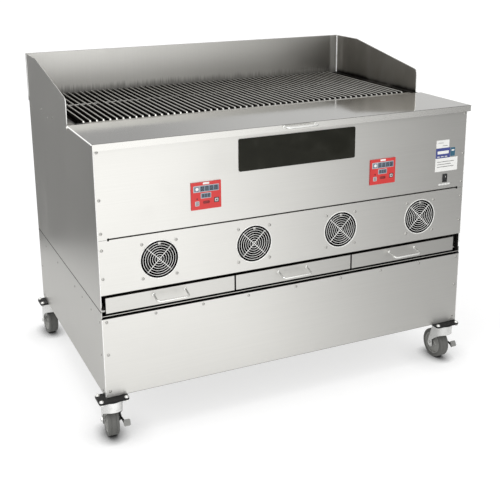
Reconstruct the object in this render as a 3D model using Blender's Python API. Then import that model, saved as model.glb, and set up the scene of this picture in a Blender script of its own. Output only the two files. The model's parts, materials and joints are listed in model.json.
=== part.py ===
"""Pellet-fired restaurant charbroiler on casters.  Metres, +Z up, front towards -Y."""

import math

import bmesh
import bpy
from mathutils import Matrix, Vector

# ---------------------------------------------------------------- overall sizes
BODY_WIDTH = 1.270
BODY_DEPTH = 0.854
SHEET = 0.002
GAP = 0.0003
HALF_WIDTH = BODY_WIDTH / 2

# Heights below are measured from the bottom edge of the cart panels.
CART_PANEL_TOP = 0.2523
CART_PANEL_FOLD = 0.237
CART_SIDE_TOP = 0.2712
BODY_BOTTOM = 0.2720
DECK_EDGE_BOTTOM = 0.2572
DECK_TOP = 0.2606
DRAWER_BOTTOM = 0.2655
DRAWER_TOP = 0.313
FAN_PANEL_BOTTOM = 0.324
FAN_PANEL_TOP = 0.4890
CONTROL_BOTTOM = 0.4935
CONTROL_TOP = 0.768
SIDE_TOP = 0.7695
LID_TOP = 0.772
WING_TOP = 0.9205
WING_FRONT_TOP = 0.853

# Depths below are measured back from the front panels.
WING_FRONT = 0.290
WING_SLOPE_END = 0.700
SPLASH_HEM = 0.866
SPLASH_FOOT = 0.752
FLANGE = 0.022
DECK_EDGE = 0.0035
DECK_SHEET = 0.0015
LOW_CORNER = 0.0065
FOLD_FRONT = 0.012
FOLD_REAR = 0.8510
CART_FOLD_REAR = 0.848
FLOOR_LIP = 0.030
FLOOR_LIP_Y = (0.034, 0.822)
BACK_LIP_FRONT = 0.826
CART_TOP_LIP = 0.018
FOLD_END_INSET = 0.006
PAN_HEIGHT = 0.040
GUIDE_HALF = 0.003
GUIDE_Y = (0.020, 0.720)
GUIDE_RISE = 0.025
POST_LEFT = 0.6205
POST_INSET = 0.001
POST_Y = (0.0045, 0.0090)
POST_TOP = 0.3225
SIDE_FOLD_FRONT = 0.024
WING_CORNER = 0.018
CONTROL_TOP_FOLD = 0.022
PANEL_FOLD = 0.014
CUT = 0.010

# ---------------------------------------------------------------- casters
CASTER_HEIGHT = 0.142
PLATE_SIZE = (0.092, 0.060, 0.006)
WHEEL_RADIUS = 0.0508
WHEEL_WIDTH = 0.034
TREAD_FLAT = 0.028
WHEEL_BORE = 0.0053
AXLE_RADIUS = 0.005
TRAIL = 0.035
CROWN_RADIUS = 0.031
CROWN_DEPTH = 0.027
PLATE_CORNER = 0.008
FORK_FRONT = -0.026
FORK_REAR = 0.028
FORK_BOSS = 0.013
FORK_ROOF = -0.013
FORK_SKIRT = -0.0275
HUB_RADIUS = 0.013
HUB_FLARE = 0.015
DISC_HALF = 0.010
RIM_INNER = 0.035
RIM_OUTER = 0.038
TREAD_SHOULDER = 0.0475
HUB_PROUD = 0.001
AXLE_ENDS = (-0.0265, 0.0298)
NUT_RADIUS = 0.008
NUT_LEFT = -0.0270
NUT_RIGHT = (0.0253, 0.0302)
PEDAL_EYE = 0.010
PEDAL_OUTER = 0.0250
PEDAL_ARM = ((-0.0080, -0.0040), (-0.0080, 0.0040), (-0.0440, 0.0060), (-0.0440, -0.0050))
PEDAL_PAD = ((-0.0400, -0.0060), (-0.0460, 0.0120), (-0.0540, 0.0095), (-0.0480, -0.0085))
PEDAL_PAD_END = 0.0450
LEG_INNER = 0.019
LEG_OUTER = 0.022
PLATE_LEFT_X = -0.616
PLATE_RIGHT_X = 0.587
PLATE_FRONT_Y = 0.004
PLATE_REAR_Y = 0.806
CASTERS = {
    "front_left": (PLATE_LEFT_X, PLATE_FRONT_Y, -5.0),
    "front_right": (PLATE_RIGHT_X, PLATE_FRONT_Y, 2.0),
    "rear_left": (PLATE_LEFT_X, PLATE_REAR_Y, 3.0),
    "rear_right": (PLATE_RIGHT_X, PLATE_REAR_Y, -2.0),
}
BRAKED = ("front_left", "front_right")

# ---------------------------------------------------------------- lid and handles
LID_HALF = 0.639
LID_NOSE = -0.0125
LID_REAR = 0.2665
LID_LIP = 0.020
HINGE_Y = 0.276
HINGE_Z = 0.762
PIN_RADIUS = 0.003
PIN_START = 0.6095
PIN_END = 0.6415
PIN_CLEARANCE = 0.0005
LUG_X = (0.608, 0.611)
LUG_FRONT = -0.036
LUG_NECK = (0.0065, 0.0045)
LUG_FOOT = (-0.012, -0.0070)
LID_HEEL = -0.0008
PULL_RADIUS = 0.003
PULL_BEND = 0.010
PULL_SIDES = 8
LID_PULL_X = -0.0005
LID_PULL_Z = 0.7655
LID_PULL_HALF = 0.053
LID_PULL_REACH = 0.022
DRAWER_PULL_OFFSET = -0.0075
DRAWER_PULL_Z = 0.300
DRAWER_PULL_HALF = 0.050
DRAWER_PULL_REACH = 0.036
DRAWER_PULL_DROP = 0.010

# ---------------------------------------------------------------- front fittings
FAN_X = (-0.454, -0.149, 0.156, 0.461)
FAN_Z = 0.408
FAN_HOLE = 0.057
FAN_SCREW = 0.0524
FAN_BACK = (0.0400, 0.0420)
CARRIER_HALF = 0.600
CARRIER_Z = (0.3300, 0.4860)
VENT_RADII = (0.023, 0.055)
VENT_START = 8
VENT_SPAN = 74
ROTOR_RADIUS = 0.021
ROTOR_Y = (0.0140, 0.0365)
ROTOR_SHAFT = 0.004
BLADE_COUNT = 7
BLADE_PITCH = 38.0
BLADE_LOW = (0.019, -0.0010, -0.0130)
BLADE_HIGH = (0.0530, 0.0010, 0.0130)
BLADE_Y = 0.0250
GUARD_SPOKE_HALF = 0.0013
GUARD_SPOKE_Y = (0.0038, 0.0062)
GUARD_RINGS = (0.018, 0.037, 0.0560)
GUARD_WIRE_HALF = 0.0012
GUARD_WIRE_Y = (0.0026, 0.0050)
GUARD_EYE = 0.0050
GUARD_EYE_Y = (0.0027, 0.0049)
CONTROLLER_X = (-0.3045, 0.3075)
CONTROLLER_Z = 0.5830
CONTROLLER_SIZE = (0.095, 0.083)
CONTROLLER_BOX = (0.076, 0.064, 0.045)
CONTROLLER_PROUD = 0.0028
SIGN_PROUD = 0.0035
WINDOW_CLEARANCE = 0.0005
SWITCH_X = 0.5565
SWITCH_Z = 0.530
SWITCH_CUT = (0.0067, 0.0120)
BEZEL_HALF = (0.0085, 0.0140)
BEZEL_PROUD = 0.0022
BARREL_HALF = (0.0062, 0.0115)
BARREL_DEPTH = 0.0200
POCKET_HALF = (0.0052, 0.0100)
POCKET_DEPTH = 0.0090
ROCKER_TILT = -7.0
ROCKER_OUTLINE = ((-0.0040, 0.0088), (-0.0028, 0.0), (-0.0040, -0.0088), (0.0050, -0.0070),
                  (0.0050, 0.0070))
ROCKER_HALF = 0.0047
ROCKER_DEPTH = 0.0010
SIGN_X = (-0.198, 0.201)
SIGN_Z = (0.641, 0.740)

# ---------------------------------------------------------------- drawers
DRAWER_X = ((-0.620, -0.2148), (-0.2093, 0.1982), (0.2037, 0.609))
DRAWER_FRONT = 0.004
DRAWER_REAR = 0.700
DRAWER_INSET = 0.010
DRAWER_WALL = 0.0015
TRAY_LIFT = 0.0006
TRAY_DROP = 0.010
SKID_BOTTOM = 0.2611
SKID_WIDTH = 0.006
SKID_INSET = 0.004
SKID_Y = (0.030, 0.690)
GUIDE_X = (-0.212, 0.201)

# ---------------------------------------------------------------- cooking parts
GRATE_COUNT = 8
BARS_PER_GRATE = 7
BAR_PITCH = 0.0211
BAR_TOP_WIDTH = 0.0085
BAR_FOOT_WIDTH = 0.0055
GRATE_Y = (0.2975, 0.846)
GRATE_Z = (0.757, 0.775)
CROSS_BARS = ((0.3020, 0.3120), (0.5900, 0.6010), (0.8350, 0.8440))
CROSS_BAR_Z = (0.7575, 0.7690)
GRATE_LEDGE = 0.0005
GRATE_LEDGE_DEPTH = 0.003
GRATE_FRAME_HALF = 0.6065
GRATE_FRAME_Y = (0.2675, 0.8510)
GRATE_MOUTH_HALF = 0.5920
GRATE_MOUTH_Y = (0.3150, 0.8300)
FRONT_STRIP_Y = (0.2935, 0.2965)
TIE_OVERHANG = 0.0015
HOPPER_HALF = 0.598
HOPPER_FRONT = 0.062
HOPPER_REAR = 0.2615
HOPPER_TOP = 0.765
HOPPER_KNEE = 0.530
HOPPER_FLOOR_FRONT = 0.190
HOPPER_FLOOR = 0.400
SLOPE_SHIFT = 0.0008
FEED_HOLE = 0.0235
FIREBOX_HALF = 0.600
FIREBOX_Y = (0.285, 0.846)
FIREBOX_Z = (0.3400, 0.7525)
BLAST_HOLE = 0.0220
BLAST_OFFSET = 0.040
BLAST_Z = 0.3800
ASH_SLOT_HALF = 0.007
ASH_SLOT_PITCH = 0.050
ASH_SLOTS = 5
ASH_SLOT_Y = (0.520, 0.680)
POT_HALF = 0.150
POT_Y = (0.500, 0.700)
POT_WALL = 0.004
POT_TOP = 0.4000
AUGER_X = (-0.305, 0.305)
AUGER_Z = 0.428
AUGER_Y = (0.205, 0.405)
AUGER_RADIUS = 0.019
SHAFT_RADIUS = 0.0065
AUGER_PITCH = 0.040
AUGER_TURNS = 4.5
AUGER_STEPS = 13
FLIGHT_START = 0.010
FLIGHT_THICK = 0.0025
FLIGHT_ROOT = 0.0030

# The frame's origin is the middle of the whole part's box, on the floor.
REAR_LEFT_TURN = math.radians(CASTERS["rear_left"][2])
REAR_REACH = (PLATE_REAR_Y + (TRAIL + WHEEL_RADIUS) * math.cos(REAR_LEFT_TURN)
              + TREAD_FLAT / 2 * math.sin(REAR_LEFT_TURN))
FRONT_REACH = LID_NOSE - GAP - LID_PULL_REACH - PULL_RADIUS * math.cos(math.pi / PULL_SIDES)
LEFT_REACH = PLATE_LEFT_X - PLATE_SIZE[0] / 2
SHIFT = Vector((-(LEFT_REACH + PIN_END) / 2, -(FRONT_REACH + REAR_REACH) / 2, CASTER_HEIGHT))

FINISHES = {
    "stainless": ((0.62, 0.61, 0.59), 1.0, 0.34),
    "cast_iron": ((0.045, 0.042, 0.040), 0.55, 0.60),
    "black_steel": ((0.016, 0.016, 0.017), 0.30, 0.45),
    "zinc": ((0.74, 0.74, 0.73), 1.0, 0.22),
    "wheel_rubber": ((0.17, 0.17, 0.17), 0.0, 0.62),
    "black_plastic": ((0.014, 0.014, 0.015), 0.0, 0.42),
    "red_plastic": ((0.52, 0.020, 0.022), 0.0, 0.38),
    "sooted_steel": ((0.11, 0.10, 0.09), 0.85, 0.58),
}


def clear_scene():
    for old in list(bpy.data.objects):
        bpy.data.objects.remove(old, do_unlink=True)


def finish(name):
    """Return the shared material of this name, making it the first time."""
    found = bpy.data.materials.get(name)
    if found:
        return found
    colour, metallic, roughness = FINISHES[name]
    material = bpy.data.materials.new(name)
    material.use_nodes = True
    shader = material.node_tree.nodes["Principled BSDF"]
    shader.inputs["Base Color"].default_value = (*colour, 1.0)
    shader.inputs["Metallic"].default_value = metallic
    shader.inputs["Roughness"].default_value = roughness
    return material


def build(name, bm, surface, origin=(0.0, 0.0, 0.0), turn=0.0, smooth=False):
    """Turn a bmesh drawn in body heights and depths into a named object."""
    bmesh.ops.recalc_face_normals(bm, faces=bm.faces[:])
    mesh = bpy.data.meshes.new(name)
    bm.to_mesh(mesh)
    bm.free()
    for face in mesh.polygons:
        face.use_smooth = smooth
    thing = bpy.data.objects.new(name, mesh)
    thing.location = Vector(origin) + SHIFT
    thing.rotation_euler = (0.0, 0.0, turn)
    bpy.context.scene.collection.objects.link(thing)
    if surface:
        mesh.materials.append(finish(surface))
    if smooth:
        mesh.set_sharp_from_angle(angle=math.radians(35))
    return thing


def tool(target, name, bm, kind, origin=(0.0, 0.0, 0.0), turn=0.0):
    """Add or cut a hidden shape on a target with an exact Boolean."""
    helper = build(name, bm, None, origin, turn)
    helper.hide_render = True
    helper.display_type = "WIRE"
    step = target.modifiers.new(name, "BOOLEAN")
    step.operation = kind
    step.solver = "EXACT"
    step.object = helper
    return helper


def add_box(bm, low, high):
    """Add one closed box between two corners."""
    size = [high[i] - low[i] for i in range(3)]
    middle = [(high[i] + low[i]) / 2 for i in range(3)]
    matrix = Matrix.Translation(middle) @ Matrix.Diagonal((*size, 1.0))
    bmesh.ops.create_cube(bm, size=1.0, matrix=matrix)


def boxes(*pairs):
    bm = bmesh.new()
    for low, high in pairs:
        add_box(bm, low, high)
    return bm


def place(axis, along, a, b):
    """Put profile coordinates (a, b) in the plane across an axis."""
    if axis == "x":
        return (along, a, b)
    if axis == "y":
        return (a, along, b)
    return (a, b, along)


def add_prism(bm, axis, outline, start, end):
    """Add one closed prism: an outline across the axis, from start to end."""
    near = [bm.verts.new(place(axis, start, a, b)) for a, b in outline]
    far = [bm.verts.new(place(axis, end, a, b)) for a, b in outline]
    bm.faces.new(near)
    bm.faces.new(list(reversed(far)))
    count = len(outline)
    for i in range(count):
        j = (i + 1) % count
        bm.faces.new((near[j], near[i], far[i], far[j]))


def prism(axis, outline, start, end):
    bm = bmesh.new()
    add_prism(bm, axis, outline, start, end)
    return bm


def add_ring(bm, axis, loops, start, end):
    """Add a closed prism with one hole: loops are equal-length outer and inner outlines."""
    rings = []
    for outline in loops:
        near = [bm.verts.new(place(axis, start, a, b)) for a, b in outline]
        far = [bm.verts.new(place(axis, end, a, b)) for a, b in outline]
        rings.append((near, far))
    (near_out, far_out), (near_in, far_in) = rings
    count = len(near_out)
    for i in range(count):
        j = (i + 1) % count
        bm.faces.new((near_out[i], near_out[j], far_out[j], far_out[i]))
        bm.faces.new((near_in[j], near_in[i], far_in[i], far_in[j]))
        bm.faces.new((near_out[j], near_out[i], near_in[i], near_in[j]))
        bm.faces.new((far_out[i], far_out[j], far_in[j], far_in[i]))


def circle(centre, radius, count, phase=0.0):
    step = 2 * math.pi / count
    angles = [phase + i * step for i in range(count)]
    return [(centre[0] + radius * math.cos(t), centre[1] + radius * math.sin(t)) for t in angles]


def rectangle(low, high):
    return [(low[0], low[1]), (high[0], low[1]), (high[0], high[1]), (low[0], high[1])]


def lathe(profile, count):
    """Revolve a closed (radius, along) profile about the X axis."""
    bm = bmesh.new()
    step = 2 * math.pi / count
    rings = []
    for i in range(count):
        c = math.cos(i * step)
        s = math.sin(i * step)
        rings.append([bm.verts.new((x, r * c, r * s)) for r, x in profile])
    size = len(profile)
    for i in range(count):
        here = rings[i]
        there = rings[(i + 1) % count]
        for j in range(size):
            k = (j + 1) % size
            bm.faces.new((here[j], here[k], there[k], there[j]))
    return bm


def tube(path, radius, sides):
    """Sweep a round wire along a flat path of points, closed at both ends."""
    bm = bmesh.new()
    points = [Vector(p) for p in path]
    rings = []
    for i, point in enumerate(points):
        before = points[max(i - 1, 0)]
        after = points[min(i + 1, len(points) - 1)]
        ahead = (after - before).normalized()
        side = Vector((0.0, 0.0, 1.0))
        other = ahead.cross(side).normalized()
        ring = []
        for k in range(sides):
            t = 2 * math.pi * (k + 0.5) / sides
            ring.append(bm.verts.new(point + radius * (math.cos(t) * other + math.sin(t) * side)))
        rings.append(ring)
    for i in range(len(rings) - 1):
        for k in range(sides):
            j = (k + 1) % sides
            bm.faces.new((rings[i][k], rings[i][j], rings[i + 1][j], rings[i + 1][k]))
    bm.faces.new(list(reversed(rings[0])))
    bm.faces.new(rings[-1])
    return bm


def pull(x, face, z, half, reach, drop=0.0):
    """A U-shaped wire pull on a front face, with its outer bar lower than its feet by the drop."""
    corner = 4
    length = math.hypot(reach, drop)
    path = [(-half, 0.0, 0.0)]
    for i in range(corner + 1):
        t = math.pi / 2 * i / corner
        path.append((PULL_BEND * (1 - math.cos(t)) - half, PULL_BEND * (1 - math.sin(t)) - length, 0.0))
    path += [(-a, b, c) for a, b, c in reversed(path)]
    bm = tube(path, PULL_RADIUS, PULL_SIDES)
    bm.transform(Matrix.Rotation(math.atan2(drop, reach), 4, "X"))
    bm.verts.ensure_lookup_table()
    for vert in bm.verts[:PULL_SIDES] + bm.verts[-PULL_SIDES:]:
        vert.co.y = 0.0
    bm.transform(Matrix.Translation((x, face - GAP, z)))
    return bm


# ---------------------------------------------------------------- the cart
def cart():
    inner = HALF_WIDTH - SHEET
    for name, side in (("left", -1), ("right", 1)):
        edge = sorted((side * HALF_WIDTH, side * inner))
        wall = build(f"cart_{name}_side",
                     boxes(((edge[0], SHEET + GAP, 0.0), (edge[1], BODY_DEPTH, CART_SIDE_TOP))),
                     "stainless")
        reach = sorted((side * (HALF_WIDTH - SHEET / 2), side * (HALF_WIDTH - FLANGE)))
        low = sorted((side * (HALF_WIDTH - SHEET / 2), side * (HALF_WIDTH - FLOOR_LIP)))
        tool(wall, f"cart_{name}_folds",
             boxes(((reach[0], FOLD_FRONT, CART_SIDE_TOP - SHEET),
                    (reach[1], CART_FOLD_REAR, CART_SIDE_TOP)),
                   ((low[0], FLOOR_LIP_Y[0], 0.0), (low[1], FLOOR_LIP_Y[1], SHEET))),
             "UNION")
    front = build("cart_front_panel",
                  boxes(((-HALF_WIDTH, 0.0, 0.0), (HALF_WIDTH, SHEET, CART_PANEL_TOP))),
                  "stainless")
    fold = HALF_WIDTH - FOLD_END_INSET
    tool(front, "cart_front_folds",
         boxes(((-fold, SHEET / 2, 0.0), (fold, FLOOR_LIP, SHEET)),
               ((-fold, SHEET / 2, CART_PANEL_FOLD), (fold, CART_TOP_LIP, CART_PANEL_FOLD + SHEET))),
         "UNION")
    back = build("cart_back_panel",
                 boxes(((-inner + GAP, BODY_DEPTH - SHEET, 0.0),
                        (inner - GAP, BODY_DEPTH, CART_SIDE_TOP))),
                 "stainless")
    tool(back, "cart_back_folds",
         boxes(((-fold, BACK_LIP_FRONT, 0.0), (fold, BODY_DEPTH - SHEET / 2, SHEET))),
         "UNION")
    pan_low = (-inner + GAP, SHEET + GAP, SHEET + GAP)
    pan_high = (inner - GAP, BODY_DEPTH - SHEET - GAP, PAN_HEIGHT)
    base = build("cart_base", boxes((pan_low, pan_high)), "stainless")
    tool(base, "cart_base_hollow",
         boxes(((pan_low[0] + SHEET, pan_low[1] + SHEET, pan_low[2] + SHEET),
                (pan_high[0] - SHEET, pan_high[1] - SHEET, PAN_HEIGHT + CUT))),
         "DIFFERENCE")
    deck_half = inner - GAP
    deck_rear = BODY_DEPTH - SHEET - GAP
    deck = build("cart_deck",
                 prism("x", [(DECK_EDGE, DECK_EDGE_BOTTOM), (DECK_EDGE + SHEET, DECK_EDGE_BOTTOM),
                             (DECK_EDGE + SHEET, DECK_TOP - DECK_SHEET),
                             (deck_rear, DECK_TOP - DECK_SHEET), (deck_rear, DECK_TOP),
                             (DECK_EDGE, DECK_TOP)],
                       -deck_half, deck_half),
                 "stainless")
    root = DECK_TOP - DECK_SHEET / 2
    guides = [((x - GUIDE_HALF, GUIDE_Y[0], root), (x + GUIDE_HALF, GUIDE_Y[1], DECK_TOP + GUIDE_RISE))
              for x in GUIDE_X]
    post = ((POST_LEFT, POST_Y[0], root), (deck_half - POST_INSET, POST_Y[1], POST_TOP))
    tool(deck, "cart_deck_guides", boxes(*guides, post), "UNION")


# ---------------------------------------------------------------- casters
def rounded_plate():
    x, y = PLATE_SIZE[0] / 2, PLATE_SIZE[1] / 2
    r = PLATE_CORNER
    outline = []
    for cx, cy, start in ((x - r, y - r, 0), (r - x, y - r, 90), (r - x, r - y, 180), (x - r, r - y, 270)):
        for i in range(4):
            t = math.radians(start + 30 * i)
            outline.append((cx + r * math.cos(t), cy + r * math.sin(t)))
    return outline


def fork_side():
    """Side outline of the fork, trailing towards +Y, with the axle at the bottom."""
    axle_z = WHEEL_RADIUS - CASTER_HEIGHT
    top = -PLATE_SIZE[2] - 2 * GAP
    outline = [(FORK_FRONT, top), (FORK_FRONT, -CROWN_DEPTH)]
    for degrees in range(200, 370, 28):
        t = math.radians(degrees)
        outline.append((TRAIL + FORK_BOSS * math.cos(t), axle_z + FORK_BOSS * math.sin(t)))
    outline.append((FORK_REAR + SHEET, -CROWN_DEPTH - 2 * SHEET))
    outline.append((FORK_REAR, top))
    return outline


def casters():
    axle_z = WHEEL_RADIUS - CASTER_HEIGHT
    top = -PLATE_SIZE[2] - 2 * GAP
    half = WHEEL_WIDTH / 2
    wheel_profile = [
        (WHEEL_BORE, -half - HUB_PROUD), (HUB_RADIUS, -half - HUB_PROUD), (HUB_FLARE, -DISC_HALF),
        (RIM_INNER, -DISC_HALF), (RIM_OUTER, -half), (TREAD_SHOULDER, -half),
        (WHEEL_RADIUS, -TREAD_FLAT / 2), (WHEEL_RADIUS, TREAD_FLAT / 2), (TREAD_SHOULDER, half),
        (RIM_OUTER, half), (RIM_INNER, DISC_HALF), (HUB_FLARE, DISC_HALF),
        (HUB_RADIUS, half + HUB_PROUD), (WHEEL_BORE, half + HUB_PROUD)]
    for name, (x, y, degrees) in CASTERS.items():
        turn = math.radians(degrees)
        build(f"caster_plate_{name}", prism("z", rounded_plate(), -PLATE_SIZE[2] - GAP, -GAP),
              "black_steel", (x, y, 0.0))
        pivot = (x, y, 0.0)
        axle = (x - TRAIL * math.sin(turn), y + TRAIL * math.cos(turn), axle_z)
        fork = build(f"caster_fork_{name}", prism("x", fork_side(), -LEG_OUTER, LEG_OUTER),
                     "zinc", pivot, turn)
        tool(fork, f"crown_{name}", prism("z", circle((0.0, 0.0), CROWN_RADIUS, 24), -CROWN_DEPTH,
                                          top + GAP / 3), "UNION", pivot, turn)
        tool(fork, f"wheel_space_{name}",
             boxes(((-LEG_INNER, FORK_SKIRT, -CASTER_HEIGHT), (LEG_INNER, 2 * TRAIL, FORK_ROOF))),
             "DIFFERENCE", pivot, turn)
        tool(fork, f"axle_{name}",
             prism("x", circle((TRAIL, axle_z), AXLE_RADIUS, 12), *AXLE_ENDS),
             "UNION", pivot, turn)
        nuts = bmesh.new()
        nut = circle((TRAIL, axle_z), NUT_RADIUS, 6)
        add_prism(nuts, "x", nut, NUT_LEFT, SHEET / 2 - LEG_OUTER)
        add_prism(nuts, "x", nut, *NUT_RIGHT)
        tool(fork, f"axle_nuts_{name}", nuts, "UNION", pivot, turn)
        build(f"caster_wheel_{name}", lathe(wheel_profile, 24), "wheel_rubber", axle, turn,
              smooth=True)
        if name in BRAKED:
            ring_outer = circle((0.0, 0.0), PEDAL_EYE, 12)
            ring_inner = circle((0.0, 0.0), WHEEL_BORE, 12)
            ring = bmesh.new()
            add_ring(ring, "x", (ring_outer, ring_inner), LEG_OUTER + GAP, PEDAL_OUTER)
            pedal = build(f"brake_pedal_{name}", ring, "black_steel", axle, turn)
            tool(pedal, f"brake_arm_{name}",
                 prism("x", PEDAL_ARM, LEG_OUTER + 1.3 * GAP, PEDAL_OUTER - GAP / 3),
                 "UNION", axle, turn)
            tool(pedal, f"brake_pad_{name}",
                 prism("x", PEDAL_PAD, LEG_OUTER + 1.7 * GAP, PEDAL_PAD_END),
                 "UNION", axle, turn)


# ---------------------------------------------------------------- the upper body
def body_sides():
    notch = FAN_PANEL_BOTTOM - SHEET / 2
    wing = [(SHEET + GAP, notch), (LOW_CORNER, notch), (LOW_CORNER, BODY_BOTTOM),
            (BODY_DEPTH, BODY_BOTTOM), (BODY_DEPTH, SPLASH_FOOT), (SPLASH_HEM, SPLASH_FOOT),
            (SPLASH_HEM, WING_TOP), (WING_SLOPE_END, WING_TOP)]
    corner = (WING_FRONT + WING_CORNER, WING_FRONT_TOP - WING_CORNER)
    for degrees in (100, 120, 140, 160, 180):
        t = math.radians(degrees)
        wing.append((corner[0] + WING_CORNER * math.cos(t), corner[1] + WING_CORNER * math.sin(t)))
    wing += [(WING_FRONT, SIDE_TOP), (SHEET + GAP, SIDE_TOP)]
    for name, side in (("left", -1), ("right", 1)):
        wall = build(f"body_{name}_side",
                     prism("x", wing, side * HALF_WIDTH, side * (HALF_WIDTH - SHEET)),
                     "stainless")
        near = side * (HALF_WIDTH - SHEET / 2)
        far = side * (HALF_WIDTH - FLANGE)
        low, high = min(near, far), max(near, far)
        tool(wall, f"body_{name}_folds",
             boxes(((low, SIDE_FOLD_FRONT, SIDE_TOP - SHEET), (high, FOLD_REAR, SIDE_TOP)),
                   ((low, FOLD_FRONT, BODY_BOTTOM), (high, FOLD_REAR, BODY_BOTTOM + SHEET))),
             "UNION")
        tool(wall, f"hinge_hole_{name}",
             prism("x", circle((HINGE_Y, HINGE_Z), PIN_RADIUS + PIN_CLEARANCE, 12),
                   side * (HALF_WIDTH - CUT), side * (HALF_WIDTH + CUT)),
             "DIFFERENCE")


def front_panels():
    fold = HALF_WIDTH - SHEET - 2 * GAP
    control = build("control_panel",
                    boxes(((-HALF_WIDTH, 0.0, CONTROL_BOTTOM), (HALF_WIDTH, SHEET, CONTROL_TOP))),
                    "stainless")
    tool(control, "control_folds",
         boxes(((-fold, SHEET / 2, CONTROL_TOP - SHEET), (fold, CONTROL_TOP_FOLD, CONTROL_TOP)),
               ((-fold, SHEET / 2, CONTROL_BOTTOM), (fold, PANEL_FOLD, CONTROL_BOTTOM + SHEET))),
         "UNION")
    windows = []
    for x in CONTROLLER_X:
        half = CONTROLLER_BOX[0] / 2 + WINDOW_CLEARANCE
        tall = CONTROLLER_BOX[1] / 2 + WINDOW_CLEARANCE
        windows.append(((x - half, -CUT, CONTROLLER_Z - tall), (x + half, CUT, CONTROLLER_Z + tall)))
    windows.append(((SWITCH_X - SWITCH_CUT[0], -CUT, SWITCH_Z - SWITCH_CUT[1]),
                    (SWITCH_X + SWITCH_CUT[0], CUT, SWITCH_Z + SWITCH_CUT[1])))
    tool(control, "control_windows", boxes(*windows), "DIFFERENCE")
    fan_panel = build("fan_panel",
                      boxes(((-HALF_WIDTH, 0.0, FAN_PANEL_BOTTOM), (HALF_WIDTH, SHEET, FAN_PANEL_TOP))),
                      "stainless")
    tool(fan_panel, "fan_panel_folds",
         boxes(((-fold, SHEET / 2, FAN_PANEL_TOP - SHEET), (fold, PANEL_FOLD, FAN_PANEL_TOP)),
               ((-fold, SHEET / 2, FAN_PANEL_BOTTOM), (fold, PANEL_FOLD, FAN_PANEL_BOTTOM + SHEET))),
         "UNION")
    holes = bmesh.new()
    for x in FAN_X:
        add_prism(holes, "y", circle((x, FAN_Z), FAN_HOLE, 32), -CUT, CUT)
    tool(fan_panel, "fan_holes", holes, "DIFFERENCE")


def back_panel():
    half = HALF_WIDTH - SHEET - GAP
    face = BODY_DEPTH - SHEET
    build("back_panel",
          prism("x", [(face, BODY_BOTTOM), (BODY_DEPTH, BODY_BOTTOM), (BODY_DEPTH, WING_TOP - SHEET),
                      (SPLASH_HEM - SHEET, WING_TOP - SHEET), (SPLASH_HEM - SHEET, SPLASH_FOOT),
                      (SPLASH_HEM, SPLASH_FOOT), (SPLASH_HEM, WING_TOP), (face, WING_TOP)],
                -half, half),
          "stainless")


# ---------------------------------------------------------------- lid, drawers, handles
def lid():
    hinge = (0.0, HINGE_Y, HINGE_Z)
    low_z = LID_TOP - SHEET - HINGE_Z
    top_z = LID_TOP - HINGE_Z
    nose = LID_NOSE - HINGE_Y
    cover = build("lid", boxes(((-LID_HALF, nose, low_z), (LID_HALF, LID_REAR - HINGE_Y, top_z))),
                  "stainless", hinge)
    inner = LID_HALF - SHEET
    heel = LID_HEEL - HINGE_Y
    skirt = prism("z", [(-LID_HALF, nose), (LID_HALF, nose), (LID_HALF, heel), (inner, heel),
                        (inner, nose + SHEET), (-inner, nose + SHEET), (-inner, heel),
                        (-LID_HALF, heel)],
                  top_z - LID_LIP, low_z + SHEET / 2)
    lug = [(LUG_FRONT, low_z + SHEET / 2), (LID_REAR - HINGE_Y - SHEET / 2, low_z + SHEET / 2),
           LUG_NECK, (LUG_NECK[0], -LUG_NECK[1]), (0.0, LUG_FOOT[1]), LUG_FOOT]
    for side in (-1, 1):
        add_prism(skirt, "x", lug, side * LUG_X[0], side * LUG_X[1])
    tool(cover, "lid_folds", skirt, "UNION", hinge)
    pins = bmesh.new()
    for side in (-1, 1):
        add_prism(pins, "x", circle((0.0, 0.0), PIN_RADIUS, 12), side * PIN_START, side * PIN_END)
    tool(cover, "lid_pins", pins, "UNION", hinge)
    build("lid_handle", pull(LID_PULL_X, LID_NOSE, LID_PULL_Z, LID_PULL_HALF, LID_PULL_REACH),
          "zinc", smooth=True)


def drawers():
    for name, (x0, x1) in zip(("left", "middle", "right"), DRAWER_X):
        front = build(f"drawer_{name}",
                      boxes(((x0, DRAWER_FRONT, DRAWER_BOTTOM), (x1, DRAWER_FRONT + SHEET, DRAWER_TOP))),
                      "stainless")
        low = (x0 + DRAWER_INSET, DRAWER_FRONT + SHEET / 2, DRAWER_BOTTOM + TRAY_LIFT)
        high = (x1 - DRAWER_INSET, DRAWER_REAR, DRAWER_TOP - TRAY_DROP)
        tool(front, f"drawer_tray_{name}", boxes((low, high)), "UNION")
        tool(front, f"drawer_hollow_{name}",
             boxes(((low[0] + DRAWER_WALL, low[1] + SHEET, low[2] + DRAWER_WALL),
                    (high[0] - DRAWER_WALL, high[1] - DRAWER_WALL, high[2] + SHEET))),
             "DIFFERENCE")
        skid_top = low[2] + DRAWER_WALL / 2
        skids = [((x, SKID_Y[0], SKID_BOTTOM), (x + SKID_WIDTH, SKID_Y[1], skid_top))
                 for x in (low[0] + SKID_INSET, high[0] - SKID_INSET - SKID_WIDTH)]
        tool(front, f"drawer_skids_{name}", boxes(*skids), "UNION")
        build(f"drawer_handle_{name}",
              pull((x0 + x1) / 2 + DRAWER_PULL_OFFSET, DRAWER_FRONT, DRAWER_PULL_Z,
                   DRAWER_PULL_HALF, DRAWER_PULL_REACH, DRAWER_PULL_DROP),
              "zinc", smooth=True)


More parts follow.
